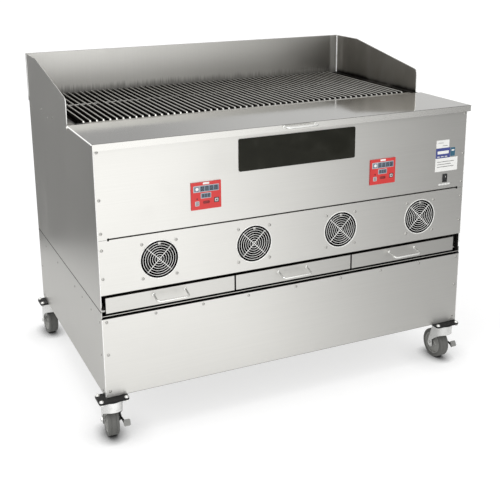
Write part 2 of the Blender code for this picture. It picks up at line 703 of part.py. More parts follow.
# ---------------------------------------------------------------- fans
def fans():
    carrier = build("fan_carrier",
                    boxes(((-CARRIER_HALF, FAN_BACK[0], CARRIER_Z[0]),
                           (CARRIER_HALF, FAN_BACK[1], CARRIER_Z[1]))),
                    "black_steel")
    vents = bmesh.new()
    for x in FAN_X:
        for quarter in range(4):
            outline = []
            start = quarter * 90 + VENT_START
            inner, outer = VENT_RADII
            for i in range(6):
                t = math.radians(start + i * VENT_SPAN / 5)
                outline.append((x + outer * math.cos(t), FAN_Z + outer * math.sin(t)))
            for i in range(3):
                t = math.radians(start + VENT_SPAN - i * VENT_SPAN / 2)
                outline.append((x + inner * math.cos(t), FAN_Z + inner * math.sin(t)))
            add_prism(vents, "y", outline, FAN_BACK[0] - CUT / 2, FAN_BACK[1] + CUT / 2)
    tool(carrier, "fan_vents", vents, "DIFFERENCE")
    for number, x in enumerate(FAN_X, 1):
        centre = (x, 0.0, FAN_Z)
        hub = build(f"fan_rotor_{number}",
                    prism("y", circle((0.0, 0.0), ROTOR_RADIUS, 20), *ROTOR_Y),
                    "black_plastic", centre)
        blades = bmesh.new()
        for i in range(BLADE_COUNT):
            lean = Matrix.Rotation(2 * math.pi * i / BLADE_COUNT, 4, "Y")
            pitch = Matrix.Rotation(math.radians(BLADE_PITCH), 4, "X")
            blade = bmesh.new()
            add_box(blade, BLADE_LOW, BLADE_HIGH)
            blade.transform(Matrix.Translation((0.0, BLADE_Y, 0.0)) @ pitch)
            blade.transform(lean)
            kept = [blades.verts.new(v.co) for v in blade.verts]
            blade.verts.index_update()
            for face in blade.faces:
                blades.faces.new([kept[v.index] for v in face.verts])
            blade.free()
        tool(hub, f"fan_blades_{number}", blades, "UNION", centre)
        tool(hub, f"fan_shaft_{number}",
             prism("y", circle((0.0, 0.0), ROTOR_SHAFT, 10), ROTOR_Y[1] - 0.0005, FAN_BACK[0] - GAP),
             "UNION", centre)
        spoke = GUARD_SPOKE_HALF
        reach = math.hypot(FAN_SCREW, FAN_SCREW)
        cross = [(reach, -spoke), (reach, spoke), (spoke, spoke), (spoke, reach), (-spoke, reach),
                 (-spoke, spoke), (-reach, spoke), (-reach, -spoke), (-spoke, -spoke),
                 (-spoke, -reach), (spoke, -reach), (spoke, -spoke)]
        eighth = math.radians(45)
        turned = [(a * math.cos(eighth) - b * math.sin(eighth),
                   a * math.sin(eighth) + b * math.cos(eighth)) for a, b in cross]
        guard = build(f"fan_guard_{number}", prism("y", turned, *GUARD_SPOKE_Y), "zinc", centre)
        wires = bmesh.new()
        for radius in GUARD_RINGS:
            add_ring(wires, "y", (circle((0.0, 0.0), radius + GUARD_WIRE_HALF, 18),
                                  circle((0.0, 0.0), radius - GUARD_WIRE_HALF, 18)), *GUARD_WIRE_Y)
        for sx in (-1, 1):
            for sz in (-1, 1):
                add_prism(wires, "y", circle((sx * FAN_SCREW, sz * FAN_SCREW), GUARD_EYE, 8),
                          *GUARD_EYE_Y)
        tool(guard, f"fan_wires_{number}", wires, "UNION", centre)


# ---------------------------------------------------------------- controls
def controls():
    for name, x in zip(("left", "right"), CONTROLLER_X):
        half_w, half_h = CONTROLLER_SIZE[0] / 2, CONTROLLER_SIZE[1] / 2
        face = build(f"controller_{name}",
                     boxes(((x - half_w, -CONTROLLER_PROUD, CONTROLLER_Z - half_h),
                            (x + half_w, -GAP, CONTROLLER_Z + half_h))),
                     "red_plastic")
        box_w, box_h, depth = CONTROLLER_BOX
        tool(face, f"controller_box_{name}",
             boxes(((x - box_w / 2, -CONTROLLER_PROUD / 2, CONTROLLER_Z - box_h / 2),
                    (x + box_w / 2, depth, CONTROLLER_Z + box_h / 2))),
             "UNION")
    bezel = build("power_switch_body",
                  boxes(((SWITCH_X - BEZEL_HALF[0], -BEZEL_PROUD, SWITCH_Z - BEZEL_HALF[1]),
                         (SWITCH_X + BEZEL_HALF[0], -GAP, SWITCH_Z + BEZEL_HALF[1]))),
                  "black_plastic")
    tool(bezel, "switch_barrel",
         boxes(((SWITCH_X - BARREL_HALF[0], -BEZEL_PROUD / 2, SWITCH_Z - BARREL_HALF[1]),
                (SWITCH_X + BARREL_HALF[0], BARREL_DEPTH, SWITCH_Z + BARREL_HALF[1]))),
         "UNION")
    tool(bezel, "switch_pocket",
         boxes(((SWITCH_X - POCKET_HALF[0], -CUT, SWITCH_Z - POCKET_HALF[1]),
                (SWITCH_X + POCKET_HALF[0], POCKET_DEPTH, SWITCH_Z + POCKET_HALF[1]))),
         "DIFFERENCE")
    tilt = math.radians(ROCKER_TILT)
    rocker = [(y * math.cos(tilt) - z * math.sin(tilt), y * math.sin(tilt) + z * math.cos(tilt))
              for y, z in ROCKER_OUTLINE]
    build("power_rocker", prism("x", rocker, -ROCKER_HALF, ROCKER_HALF), "black_plastic",
          (SWITCH_X, ROCKER_DEPTH, SWITCH_Z))
    build("name_plate",
          boxes(((SIGN_X[0], -SIGN_PROUD, SIGN_Z[0]), (SIGN_X[1], -GAP, SIGN_Z[1]))),
          "black_plastic")


# ---------------------------------------------------------------- hopper, fire and grates
def hopper():
    shell = build("hopper",
                  prism("x", [(HOPPER_FRONT, HOPPER_TOP), (HOPPER_FRONT, HOPPER_KNEE),
                              (HOPPER_FLOOR_FRONT, HOPPER_FLOOR), (HOPPER_REAR, HOPPER_FLOOR),
                              (HOPPER_REAR, HOPPER_TOP)], -HOPPER_HALF, HOPPER_HALF),
                  "stainless")
    inner = HOPPER_HALF - SHEET
    tool(shell, "hopper_hollow",
         prism("x", [(HOPPER_FRONT + SHEET, HOPPER_TOP + CUT),
                     (HOPPER_FRONT + SHEET, HOPPER_KNEE + SLOPE_SHIFT),
                     (HOPPER_FLOOR_FRONT + SLOPE_SHIFT, HOPPER_FLOOR + SHEET),
                     (HOPPER_REAR - SHEET, HOPPER_FLOOR + SHEET),
                     (HOPPER_REAR - SHEET, HOPPER_TOP + CUT)], -inner, inner),
         "DIFFERENCE")
    outlets = bmesh.new()
    for x in AUGER_X:
        add_prism(outlets, "y", circle((x, AUGER_Z), FEED_HOLE, 16), HOPPER_REAR - CUT, HOPPER_REAR + CUT)
    tool(shell, "hopper_outlets", outlets, "DIFFERENCE")


def firebox():
    low = (-FIREBOX_HALF, FIREBOX_Y[0], FIREBOX_Z[0])
    high = (FIREBOX_HALF, FIREBOX_Y[1], FIREBOX_Z[1])
    liner = build("firebox", boxes((low, high)), "sooted_steel")
    tool(liner, "firebox_hollow",
         boxes(((low[0] + SHEET, low[1] + SHEET, low[2] + SHEET),
                (high[0] - SHEET, high[1] - SHEET, high[2] + CUT))),
         "DIFFERENCE")
    inlets = bmesh.new()
    for x in AUGER_X:
        add_prism(inlets, "y", circle((x, AUGER_Z), FEED_HOLE, 16), low[1] - CUT, low[1] + CUT)
    for x in FAN_X:
        add_prism(inlets, "y", circle((x + BLAST_OFFSET, BLAST_Z), BLAST_HOLE, 12),
                  low[1] - CUT, low[1] + CUT)
    tool(liner, "firebox_inlets", inlets, "DIFFERENCE")
    slots = []
    for x in AUGER_X:
        for i in range(ASH_SLOTS):
            middle = x + (i - ASH_SLOTS // 2) * ASH_SLOT_PITCH
            slots.append(((middle - ASH_SLOT_HALF, ASH_SLOT_Y[0], low[2] - CUT),
                          (middle + ASH_SLOT_HALF, ASH_SLOT_Y[1], low[2] + CUT)))
    tool(liner, "ash_slots", boxes(*slots), "DIFFERENCE")
    pots = bmesh.new()
    for x in AUGER_X:
        outer = rectangle((x - POT_HALF, POT_Y[0]), (x + POT_HALF, POT_Y[1]))
        inner = rectangle((x - POT_HALF + POT_WALL, POT_Y[0] + POT_WALL),
                          (x + POT_HALF - POT_WALL, POT_Y[1] - POT_WALL))
        add_ring(pots, "z", (outer, inner), low[2] + SHEET / 2, POT_TOP)
    tool(liner, "fire_pots", pots, "UNION")


def augers():
    for name, x in zip(("left", "right"), AUGER_X):
        centre = (x, 0.0, AUGER_Z)
        screw = build(f"auger_{name}",
                      prism("y", circle((0.0, 0.0), SHAFT_RADIUS, 12, 0.1), *AUGER_Y),
                      "sooted_steel", centre)
        flight = bmesh.new()
        count = int(AUGER_TURNS * AUGER_STEPS)
        start = AUGER_Y[0] + FLIGHT_START
        rings = []
        for i in range(count + 1):
            t = 2 * math.pi * i / AUGER_STEPS
            y = start + AUGER_PITCH * i / AUGER_STEPS
            c, s = math.cos(t), math.sin(t)
            root = SHAFT_RADIUS - FLIGHT_ROOT
            ring = [flight.verts.new((r * c, y + dy, r * s))
                    for r, dy in ((root, 0.0), (AUGER_RADIUS, 0.0), (AUGER_RADIUS, FLIGHT_THICK),
                                  (root, FLIGHT_THICK))]
            rings.append(ring)
        for i in range(count):
            for k in range(4):
                j = (k + 1) % 4
                flight.faces.new((rings[i][k], rings[i][j], rings[i + 1][j], rings[i + 1][k]))
        flight.faces.new(rings[0])
        flight.faces.new(list(reversed(rings[-1])))
        tool(screw, f"auger_flight_{name}", flight, "UNION", centre)


def grates():
    top = GRATE_Z[0] - GRATE_LEDGE
    half = GRATE_FRAME_HALF
    ring = bmesh.new()
    add_ring(ring, "z", (rectangle((-half, GRATE_FRAME_Y[0]), (half, GRATE_FRAME_Y[1])),
                         rectangle((-GRATE_MOUTH_HALF, GRATE_MOUTH_Y[0]),
                                   (GRATE_MOUTH_HALF, GRATE_MOUTH_Y[1]))),
             top - GRATE_LEDGE_DEPTH, top)
    frame = build("grate_frame", ring, "sooted_steel")
    tool(frame, "grate_front_strip",
         prism("x", [(GRATE_FRAME_Y[0], SIDE_TOP), (FRONT_STRIP_Y[1], SIDE_TOP),
                     (FRONT_STRIP_Y[1], top - SHEET / 2), (FRONT_STRIP_Y[0], top - SHEET / 2),
                     (FRONT_STRIP_Y[0], SIDE_TOP - SHEET), (GRATE_FRAME_Y[0], SIDE_TOP - SHEET)],
               -half, half),
         "UNION")
    first = -BAR_PITCH * (GRATE_COUNT * BARS_PER_GRATE - 1) / 2
    for number in range(GRATE_COUNT):
        bars = bmesh.new()
        left = first + number * BARS_PER_GRATE * BAR_PITCH
        for i in range(BARS_PER_GRATE):
            x = left + i * BAR_PITCH
            outline = [(x - BAR_FOOT_WIDTH / 2, GRATE_Z[0]), (x + BAR_FOOT_WIDTH / 2, GRATE_Z[0]),
                       (x + BAR_TOP_WIDTH / 2, GRATE_Z[1]), (x - BAR_TOP_WIDTH / 2, GRATE_Z[1])]
            add_prism(bars, "y", outline, *GRATE_Y)
        grate = build(f"grate_{number + 1}", bars, "cast_iron")
        right = left + (BARS_PER_GRATE - 1) * BAR_PITCH
        ties = [((left - TIE_OVERHANG, y0, CROSS_BAR_Z[0]), (right + TIE_OVERHANG, y1, CROSS_BAR_Z[1]))
                for y0, y1 in CROSS_BARS]
        tool(grate, f"grate_ties_{number + 1}", boxes(*ties), "UNION")


clear_scene()
cart()
casters()
body_sides()
front_panels()
back_panel()
lid()
drawers()
fans()
controls()
hopper()
firebox()
augers()
grates()
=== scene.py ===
import json
import math

import bmesh
import bpy
from mathutils import Matrix, Vector

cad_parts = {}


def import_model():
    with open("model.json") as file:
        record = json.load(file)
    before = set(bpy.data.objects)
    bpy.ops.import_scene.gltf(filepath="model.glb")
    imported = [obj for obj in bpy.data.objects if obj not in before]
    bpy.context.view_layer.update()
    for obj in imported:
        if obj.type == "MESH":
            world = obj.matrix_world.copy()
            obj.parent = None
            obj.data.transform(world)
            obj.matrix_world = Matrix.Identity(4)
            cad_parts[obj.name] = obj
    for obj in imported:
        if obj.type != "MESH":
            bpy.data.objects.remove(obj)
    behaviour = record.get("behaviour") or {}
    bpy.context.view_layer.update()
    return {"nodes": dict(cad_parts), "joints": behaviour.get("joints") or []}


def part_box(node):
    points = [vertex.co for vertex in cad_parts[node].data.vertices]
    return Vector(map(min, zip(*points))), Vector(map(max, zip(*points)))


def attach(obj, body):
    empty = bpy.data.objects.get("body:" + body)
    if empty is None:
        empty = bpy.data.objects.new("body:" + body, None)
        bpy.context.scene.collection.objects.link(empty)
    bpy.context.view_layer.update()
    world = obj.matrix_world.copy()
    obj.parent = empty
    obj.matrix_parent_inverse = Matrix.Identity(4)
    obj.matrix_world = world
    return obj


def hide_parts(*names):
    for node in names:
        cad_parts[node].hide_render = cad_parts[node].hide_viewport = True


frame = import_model()

# -------- places in the frame
PANEL_LOW, PANEL_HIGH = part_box("control_panel")
CART_LOW, CART_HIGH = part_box("cart_front_panel")
MID_X = (PANEL_LOW.x + PANEL_HIGH.x) / 2
FRONT_Y = PANEL_LOW.y
BASE_Z = CART_LOW.z
HALF_WIDTH = (PANEL_HIGH.x - PANEL_LOW.x) / 2
BODY_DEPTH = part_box("cart_back_panel")[1].y - FRONT_Y
GRATE_NOSE, GRATE_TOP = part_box("grate_1")[0].y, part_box("grate_1")[1].z
MIDDLE_RIB = 0.5955
SPLASH_Y = FRONT_Y + 0.8527
DECK_Z = BASE_Z + 0.7645
CASTERS = ("front_left", "front_right", "rear_left", "rear_right")
BRAKED = ("front_left", "front_right")
DRAWERS = ("left", "middle", "right")
SIDES = (("left", -1), ("right", 1))
OUTWARD = {-1: "-x", 1: "+x"}
QUARTERS = ((-1, -1), (-1, 1), (1, -1), (1, 1))
GRATES = range(1, 9)
FANS = range(1, 5)


def at(x, y, z):
    """A point given from the body's middle, its front face and the cart's bottom edge."""
    return Vector((MID_X + x, FRONT_Y + y, BASE_Z + z))


def centred(node, y):
    """The middle of a node as seen from the front, at depth y."""
    low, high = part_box(node)
    return Vector(((low.x + high.x) / 2, y, (low.z + high.z) / 2))


def srgb(red, green, blue):
    """Linear colour of a display colour given in 0 to 255."""
    def linear(value):
        value /= 255
        return value / 12.92 if value <= 0.04045 else ((value + 0.055) / 1.055) ** 2.4
    return (linear(red), linear(green), linear(blue), 1.0)


# -------- materials
def connect(tree, socket, value):
    """Link a node's output to a socket, or set the socket to a plain value."""
    if isinstance(value, bpy.types.NodeSocket):
        tree.links.new(value, socket)
    else:
        socket.default_value = value


def add_node(tree, kind, inputs=(), **settings):
    """A new node with its settings, and its inputs by name or number."""
    node = tree.nodes.new(kind)
    for key, value in settings.items():
        setattr(node, key, value)
    for socket, value in dict(inputs).items():
        connect(tree, node.inputs[socket], value)
    return node


class Finish:
    """A Principled material under construction, worked out in the object's own metres."""

    def __init__(self, name, metallic=0.0, roughness=0.5, specular=0.5):
        self.material = bpy.data.materials.new(name)
        self.material.use_nodes = True
        self.tree = self.material.node_tree
        self.shader = self.tree.nodes["Principled BSDF"]
        self.put("Metallic", metallic)
        self.put("Roughness", roughness)
        self.put("Specular IOR Level", specular)
        self.place = self.tree.nodes.new("ShaderNodeTexCoord").outputs["Object"]

    def add(self, kind, inputs=(), **settings):
        return add_node(self.tree, kind, inputs, **settings)

    def put(self, name, value):
        connect(self.tree, self.shader.inputs[name], value)

    def noise(self, scale, stretch=(1.0, 1.0, 1.0), detail=3.0):
        turned = self.add("ShaderNodeMapping", {"Vector": self.place, "Scale": stretch})
        return self.add("ShaderNodeTexNoise", {"Vector": turned.outputs[0], "Scale": scale,
                                               "Detail": detail}).outputs["Fac"]

    def axis(self, name):
        return self.add("ShaderNodeSeparateXYZ", {"Vector": self.place}).outputs[name]

    def span(self, value, low, high, start=0.0, end=1.0):
        """Map value from low..high to start..end, eased, and held beyond both."""
        return self.add("ShaderNodeMapRange", {0: value, 1: low, 2: high, 3: start, 4: end},
                        interpolation_type="SMOOTHSTEP").outputs[0]

    def fade(self, value, low, high):
        """1 up to low, 0 from high on."""
        return self.span(value, low, high, 1.0, 0.0)

    def calc(self, operation, a, b=0.0):
        return self.add("ShaderNodeMath", {0: a, 1: b}, operation=operation).outputs[0]

    def plus(self, a, b):
        return self.calc("ADD", a, b)

    def times(self, product, *factors):
        for factor in factors:
            product = self.calc("MULTIPLY", product, factor)
        return product

    def mix(self, factor, a, b):
        return self.add("ShaderNodeMix", {0: factor, 6: a, 7: b}, data_type="RGBA").outputs[2]

    def tones(self, value, low, high, first, second):
        """Display colour first, turning into second as value goes from low to high."""
        return self.mix(self.span(value, low, high), srgb(*first), srgb(*second))

    def bump(self, height, distance, strength):
        node = self.add("ShaderNodeBump", {"Height": height, "Distance": distance,
                                           "Strength": strength})
        self.put("Normal", node.outputs[0])

    def done(self, colour, roughness=None):
        self.put("Base Color", colour)
        if roughness is not None:
            self.put("Roughness", roughness)
        return self.material


SMEAR = 0.85
DEEP, UP = (0.0, 1.0, 0.0), (0.0, 0.0, 1.0)
GRAIN = {"x": (3.0, 420.0, 420.0), "z": (420.0, 420.0, 3.0)}


def brushed(name, grain, tone=(205, 204, 200), roughness=0.34, spread=0.03, marks=None,
            across=None):
    """Brushed stainless sheet: fine lines along the grain, uneven polish, faint handling marks.

    Reflections smear along the direction across, which is square to the grain."""
    f = Finish(name, metallic=1.0)
    if across:
        f.put("Anisotropic", SMEAR)
        f.put("Tangent", f.add("ShaderNodeCombineXYZ", dict(enumerate(across))).outputs[0])
    lines = f.noise(1.0, GRAIN[grain], 4.0)
    bands = f.noise(0.12, GRAIN[grain], 2.0)
    clouds = f.noise(2.6)
    smears = f.noise(9.0, detail=5.0)
    colour = f.tones(lines, 0.3, 0.7, [c - 2 for c in tone], [min(255, c + 1) for c in tone])
    colour = f.mix(f.times(f.span(bands, 0.35, 0.75), 0.3), colour, srgb(*tone))
    rough = f.plus(f.span(lines, 0.25, 0.75, roughness - spread / 2, roughness + spread / 2),
                   f.span(clouds, 0.35, 0.7, -0.012, 0.015))
    rough = f.plus(rough, f.span(smears, 0.56, 0.7, 0.0, 0.02))
    if marks:
        colour, rough = marks(f, colour, rough)
    f.bump(lines, 0.00001, 0.05)
    return f.done(colour, rough)


def edge_shade_lines(f, colour, rough):
    """Painted shade: thin dark lines along the top and bottom edges of the cart panel."""
    height = f.axis("Z")
    bottom = f.span(height, BASE_Z + 0.0006, BASE_Z + 0.0018, 0.75, 0.0)
    top = f.times(f.span(height, CART_HIGH.z - 0.0026, CART_HIGH.z - 0.0016),
                  f.fade(height, CART_HIGH.z + 0.0002, CART_HIGH.z + 0.0006))
    # Painted shadow at the panel's top edge under the deck, and painted shade along its bottom
    # edge.
    colour = f.mix(top, colour, srgb(20, 20, 19))
    return f.mix(bottom, colour, srgb(72, 71, 68)), rough


def lid_bend_shade(f, colour, rough):
    """The lid's front lip is satin like the panels, and along its long bend is a thin dark line of
    painted shade.
    """
    nose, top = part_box("lid")[0].y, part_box("lid")[1].z
    depth = f.axis("Y")
    lip = f.fade(depth, nose + 0.0004, nose + 0.001)
    bend = f.times(f.fade(depth, nose + 0.003, nose + 0.0042),
                   f.span(f.axis("Z"), top - 0.0012, top - 0.0006))
    # Painted shade along the bend.
    colour = f.mix(f.times(bend, 0.75), colour, srgb(70, 68, 65))
    return colour, f.plus(rough, f.times(lip, 0.2))


def ledge_shadow(f, colour, rough):
    """Painted shadow along the top of the ledge under the drawers."""
    ledge = BASE_Z + 0.259
    shade_band = f.span(f.axis("Z"), ledge - 0.0004, ledge + 0.0004)
    return f.mix(shade_band, colour, srgb(22, 21, 20)), rough


def heat_soot_and_shade(f, colour, rough):
    """Soot and heat tint on the backsplash's grill side, in upright streaks, strongest low down,
    and painted shade darkening it towards the right.
    """
    low, high, amount = BASE_Z + 0.772, BASE_Z + 0.8, 0.55
    height, across = f.axis("Z"), f.axis("X")
    inner = f.fade(f.axis("Y"), SPLASH_Y - 0.0003, SPLASH_Y + 0.0003)
    streaks = f.noise(1.0, (210.0, 210.0, 7.0))
    wide = f.noise(1.0, (14.0, 14.0, 2.0), 2.0)
    reach = f.plus(f.span(streaks, 0.3, 0.72, -0.006, 0.007),
                   f.span(wide, 0.3, 0.7, -0.003, 0.003))
    soot = f.times(inner, f.fade(f.plus(height, reach), low, high))
    tint = f.times(inner, f.span(height, low, high + 0.1, 0.3, 0.0))
    colour = f.mix(f.times(tint, amount), colour, srgb(120, 114, 104))
    colour = f.mix(f.times(soot, amount), colour, srgb(52, 49, 45))
    corner = MID_X + HALF_WIDTH
    haze = f.times(f.span(across, corner - 0.038, corner - 0.03),
                   f.span(across, corner - 0.014, corner - 0.008, 1.0, 0.15),
                   inner, f.span(streaks, 0.3, 0.6, 0.5, 1.0))
    weld_haze(f, haze, 0.6)
    # Painted shade: darker towards the right.
    shade = f.times(inner, f.span(across, MID_X - 0.45, MID_X + 0.5, 0.0, 0.55))
    colour = f.mix(shade, colour, srgb(128, 126, 121))
    return colour, f.plus(rough, f.times(soot, 0.2))


def weld_haze(f, mask, amount):
    """Ground metal beside a weld scatters more light: less mirror there."""
    f.put("Metallic", f.calc("SUBTRACT", 1.0, f.times(mask, amount)))


def inside_wing(side):
    """Inner face of a side sheet above the deck, darker as painted shade, with a ragged band of
    painted shade along its foot, hazy beside the right weld.
    """
    face = MID_X + side * (HALF_WIDTH - 0.001)
    weld = FRONT_Y + BODY_DEPTH - 0.04

    def mark(f, colour, rough):
        height = f.axis("Z")
        inward = f.span(f.axis("X"), face - side * 0.0004, face + side * 0.0004, 1.0, 0.0)
        cover = f.times(inward, f.span(height, DECK_Z, DECK_Z + 0.0015))
        patches = f.noise(7.0, (1.0, 1.0, 0.5), 5.0)
        # Painted shade: the inner face is darker than the sheet's outside.
        shade = f.tones(patches, 0.3, 0.7, (128, 125, 119), (150, 147, 141))
        ragged = f.plus(height, f.span(patches, 0.3, 0.7, -0.006, 0.006))
        # A ragged band of painted shade, darkest just above the deck.
        shade_band = f.span(ragged, DECK_Z + 0.0035, DECK_Z + 0.0195, 0.92, 0.0)
        shade = f.mix(shade_band, shade, srgb(16, 15, 14))
        if side > 0:
            haze = f.times(cover, f.span(f.axis("Y"), weld - 0.02, weld))
            weld_haze(f, f.times(haze, f.span(patches, 0.35, 0.6, 0.4, 1.0)), 0.5)
        return f.mix(cover, colour, shade), f.plus(rough, f.times(cover, 0.1))
    return mark


def fire_frame(name):
    """The grate frame: black with soot, but wiped bare along the strip behind the lid."""
    f = Finish(name, metallic=0.9)
    patches = f.noise(11.0, detail=6.0)
    black = f.tones(patches, 0.38, 0.66, (14, 13, 12), (34, 32, 29))
    bare = f.tones(patches, 0.3, 0.7, (150, 147, 140), (182, 180, 174))
    strip = f.times(f.span(f.axis("Z"), DECK_Z + 0.0039, DECK_Z + 0.0045),
                    f.span(f.axis("X"), MID_X - 0.59, MID_X - 0.56))
    f.bump(f.noise(300.0, detail=4.0), 0.0002, 0.4)
    return f.done(f.mix(strip, black, bare), f.span(patches, 0.3, 0.7, 0.5, 0.34))


def cast_iron(name):
    """Seasoned cast iron: sandy skin, grey bar tops that are worn and also carry painted highlight,
    and painted highlights on the noses and middle rib.
    """
    f = Finish(name, metallic=0.75)
    across, depth, height = (f.axis(letter) for letter in "XYZ")
    grit = f.noise(420.0, detail=5.0)
    patches = f.noise(16.0, detail=4.0)
    ragged = f.plus(height, f.span(patches, 0.3, 0.7, -0.0002, 0.0002))
    # Bar tops: real wear mixed with painted highlight, a little stronger towards the right.
    worn_and_sheen = f.times(f.span(ragged, GRATE_TOP - 0.0024, GRATE_TOP - 0.0006),
                   f.span(across, MID_X - 0.5, MID_X + 0.1, 0.84, 0.92))
    # Painted highlights on the bar noses and the middle rib, fading towards the right.
    nose_highlight = f.times(f.fade(depth, GRATE_NOSE + 0.0035, GRATE_NOSE + 0.006),
                  f.span(across, MID_X - 0.45, MID_X + 0.2, 1.0, 0.45))
    off_rib = f.calc("ABSOLUTE", f.calc("SUBTRACT", depth, FRONT_Y + MIDDLE_RIB))
    rib = f.times(f.fade(off_rib, 0.003, 0.0048),
                  f.span(across, MID_X - 0.56, MID_X - 0.15, 0.45, 0.0))
    bright = f.times(f.calc("MAXIMUM", nose_highlight, rib),
                     f.span(height, GRATE_TOP - 0.0085, GRATE_TOP - 0.006))
    skin = f.tones(patches, 0.35, 0.65, (28, 26, 24), (42, 40, 37))
    steel = f.tones(grit, 0.35, 0.65, (150, 148, 142), (196, 194, 188))
    f.bump(grit, 0.0002, 0.4)
    colour = f.mix(bright, f.mix(worn_and_sheen, skin, steel), srgb(226, 225, 220))
    return f.done(colour, f.span(patches, 0.3, 0.7, 0.31, 0.37))


def painted(name, colour):
    """Gloss paint on steel with orange peel and a few scuffs."""
    f = Finish(name, specular=0.2)
    f.put("Coat Weight", 0.08)
    f.put("Coat Roughness", 0.22)
    patches = f.noise(22.0, detail=5.0)
    shade = f.mix(f.span(patches, 0.62, 0.72, 0.0, 0.5), srgb(*colour), srgb(70, 70, 70))
    f.bump(f.noise(900.0, detail=2.0), 0.00008, 0.5)
    return f.done(shade, f.span(patches, 0.35, 0.7, 0.35, 0.54))


def plated(name, tone, roughness, metallic=1.0):
    """Bright zinc or chrome plate with a faint crystalline mottle."""
    f = Finish(name, metallic=metallic)
    mottle = f.add("ShaderNodeTexVoronoi", {"Vector": f.place, "Scale": 260.0}).outputs["Distance"]
    patches = f.noise(30.0, detail=4.0)
    colour = f.tones(mottle, 0.1, 0.6, [c - 10 for c in tone], tone)
    colour = f.mix(f.span(patches, 0.6, 0.75, 0.0, 0.35), colour, srgb(150, 147, 138))
    f.bump(mottle, 0.00005, 0.3)
    return f.done(colour, f.span(patches, 0.3, 0.7, roughness - 0.05, roughness + 0.1))


def moulded(name, colour, roughness, dusty=0.12, grain=700.0, specular=0.5):
    """Moulded plastic or rubber: fine texture, slight colour drift and a film of dust."""
    f = Finish(name, specular=specular)
    drift = f.noise(18.0, detail=4.0)
    base = f.tones(drift, 0.3, 0.7, [max(0, c - 7) for c in colour], colour)
    base = f.mix(f.span(drift, 0.5, 0.8, 0.0, dusty), base, srgb(150, 148, 142))
    f.bump(f.noise(grain), 0.0001, 0.5)
    return f.done(base, f.span(drift, 0.3, 0.7, roughness - 0.05, roughness + 0.08))


def sooted(name):
    """Steel that lives over a fire: scale, soot and bare patches."""
    f = Finish(name, metallic=0.8)
    patches = f.noise(11.0, detail=6.0)
    colour = f.tones(patches, 0.38, 0.66, (40, 37, 34), (112, 106, 97))
    f.bump(f.noise(300.0, detail=4.0), 0.0003, 0.6)
    return f.done(colour, f.span(patches, 0.3, 0.7, 0.72, 0.42))


# -------- mesh helpers
def join_rings(bm, rings, closed=False):
    """Quads from each ring of vertices to the next, with end caps unless it closes on itself."""
    following = rings[1:] + rings[:1] if closed else rings[1:]
    for here, there in zip(rings, following):
        for i in range(len(here)):
            j = (i + 1) % len(here)
            bm.faces.new((here[i], here[j], there[j], there[i]))
    if not closed:
        bm.faces.new(list(reversed(rings[0])))
        bm.faces.new(rings[-1])


def add_turned(bm, profile, matrix, count=24):
    """Revolve (radius, height) points about the matrix's Z axis. Radius 0 makes a pole."""
    rings = []
    for radius, height in profile:
        turns = [2 * math.pi * i / count for i in range(count if radius else 1)]
        around = [(radius * math.cos(t), radius * math.sin(t), height) for t in turns]
        rings.append([bm.verts.new(matrix @ Vector(p)) for p in around])
    for here, there in zip(rings, rings[1:]):
        for i in range(count):
            j = (i + 1) % count
            corners = (here[i % len(here)], here[j % len(here)],
                       there[j % len(there)], there[i % len(there)])
            bm.faces.new(list(dict.fromkeys(corners)))


def add_loop(bm, profile, matrix, count=48):
    """Revolve a closed (radius, height) outline about the matrix's Z axis."""
    turns = [2 * math.pi * i / count for i in range(count)]
    join_rings(bm, [[bm.verts.new(matrix @ Vector((r * math.cos(t), r * math.sin(t), h)))
                     for r, h in profile] for t in turns], closed=True)


def arc(centre, radius, start, end, steps):
    """Points along an arc, with its angles in degrees."""
    turns = [math.radians(start + (end - start) * i / steps) for i in range(steps + 1)]
    return [(centre[0] + radius * math.cos(t), centre[1] + radius * math.sin(t)) for t in turns]


def circle(radius, count, centre):
    half = 180 / count
    return arc(centre, radius, half, 360 - half, count - 1)


def mirrored(half):
    """An outline made of its left half, which ends on the middle line, and its reflection."""
    return half + [(-a, b) for a, b in reversed(half[:-1])]


def add_tube(bm, path, radius, sides=12):
    """Sweep a round section along a path, with flat closed ends."""
    points = [Vector(p) for p in path]
    turns = [2 * math.pi * k / sides for k in range(sides)]
    rings = []
    side = None
    for i, point in enumerate(points):
        ahead = (points[min(i + 1, len(points) - 1)] - points[max(i - 1, 0)]).normalized()
        if side is None:
            side = ahead.orthogonal().normalized()
        side = (side - ahead * side.dot(ahead)).normalized()
        other = ahead.cross(side)
        rings.append([bm.verts.new(point + radius * (math.cos(t) * side + math.sin(t) * other))
                      for t in turns])
    join_rings(bm, rings)


def add_slab(bm, outline, matrix, thickness, rim=0.0):
    """An outline in the matrix's XY plane, raised by thickness, its top edge eased by rim."""
    centre = sum((Vector(p) for p in outline), Vector((0, 0))) / len(outline)
    levels = [(0.0, 0.0), (thickness - rim, 0.0)]
    if rim:
        levels += [(thickness - rim * 0.3, rim * 0.3), (thickness, rim)]
    rings = []
    for height, inset in levels:
        ring = []
        for x, y in outline:
            away = Vector((x, y)) - centre
            x -= math.copysign(min(inset, abs(away.x)), away.x)
            y -= math.copysign(min(inset, abs(away.y)), away.y)
            ring.append(bm.verts.new(matrix @ Vector((x, y, height))))
        rings.append(ring)
    join_rings(bm, rings)


def add_prism(bm, outline, put, start, end):
    """An outline carried from start to end by put(distance, a, b)."""
    join_rings(bm, [[bm.verts.new(put(h, a, b)) for a, b in outline] for h in (start, end)])


def rounded(width, height, radius, corner=4):
    """A rectangle outline about the origin with round corners."""
    x, y = width / 2 - radius, height / 2 - radius
    points = []
    for cx, cy, start in ((x, y, 0), (-x, y, 90), (-x, -y, 180), (x, -y, 270)):
        points += arc((cx, cy), radius, start, start + 90, corner)
    return points


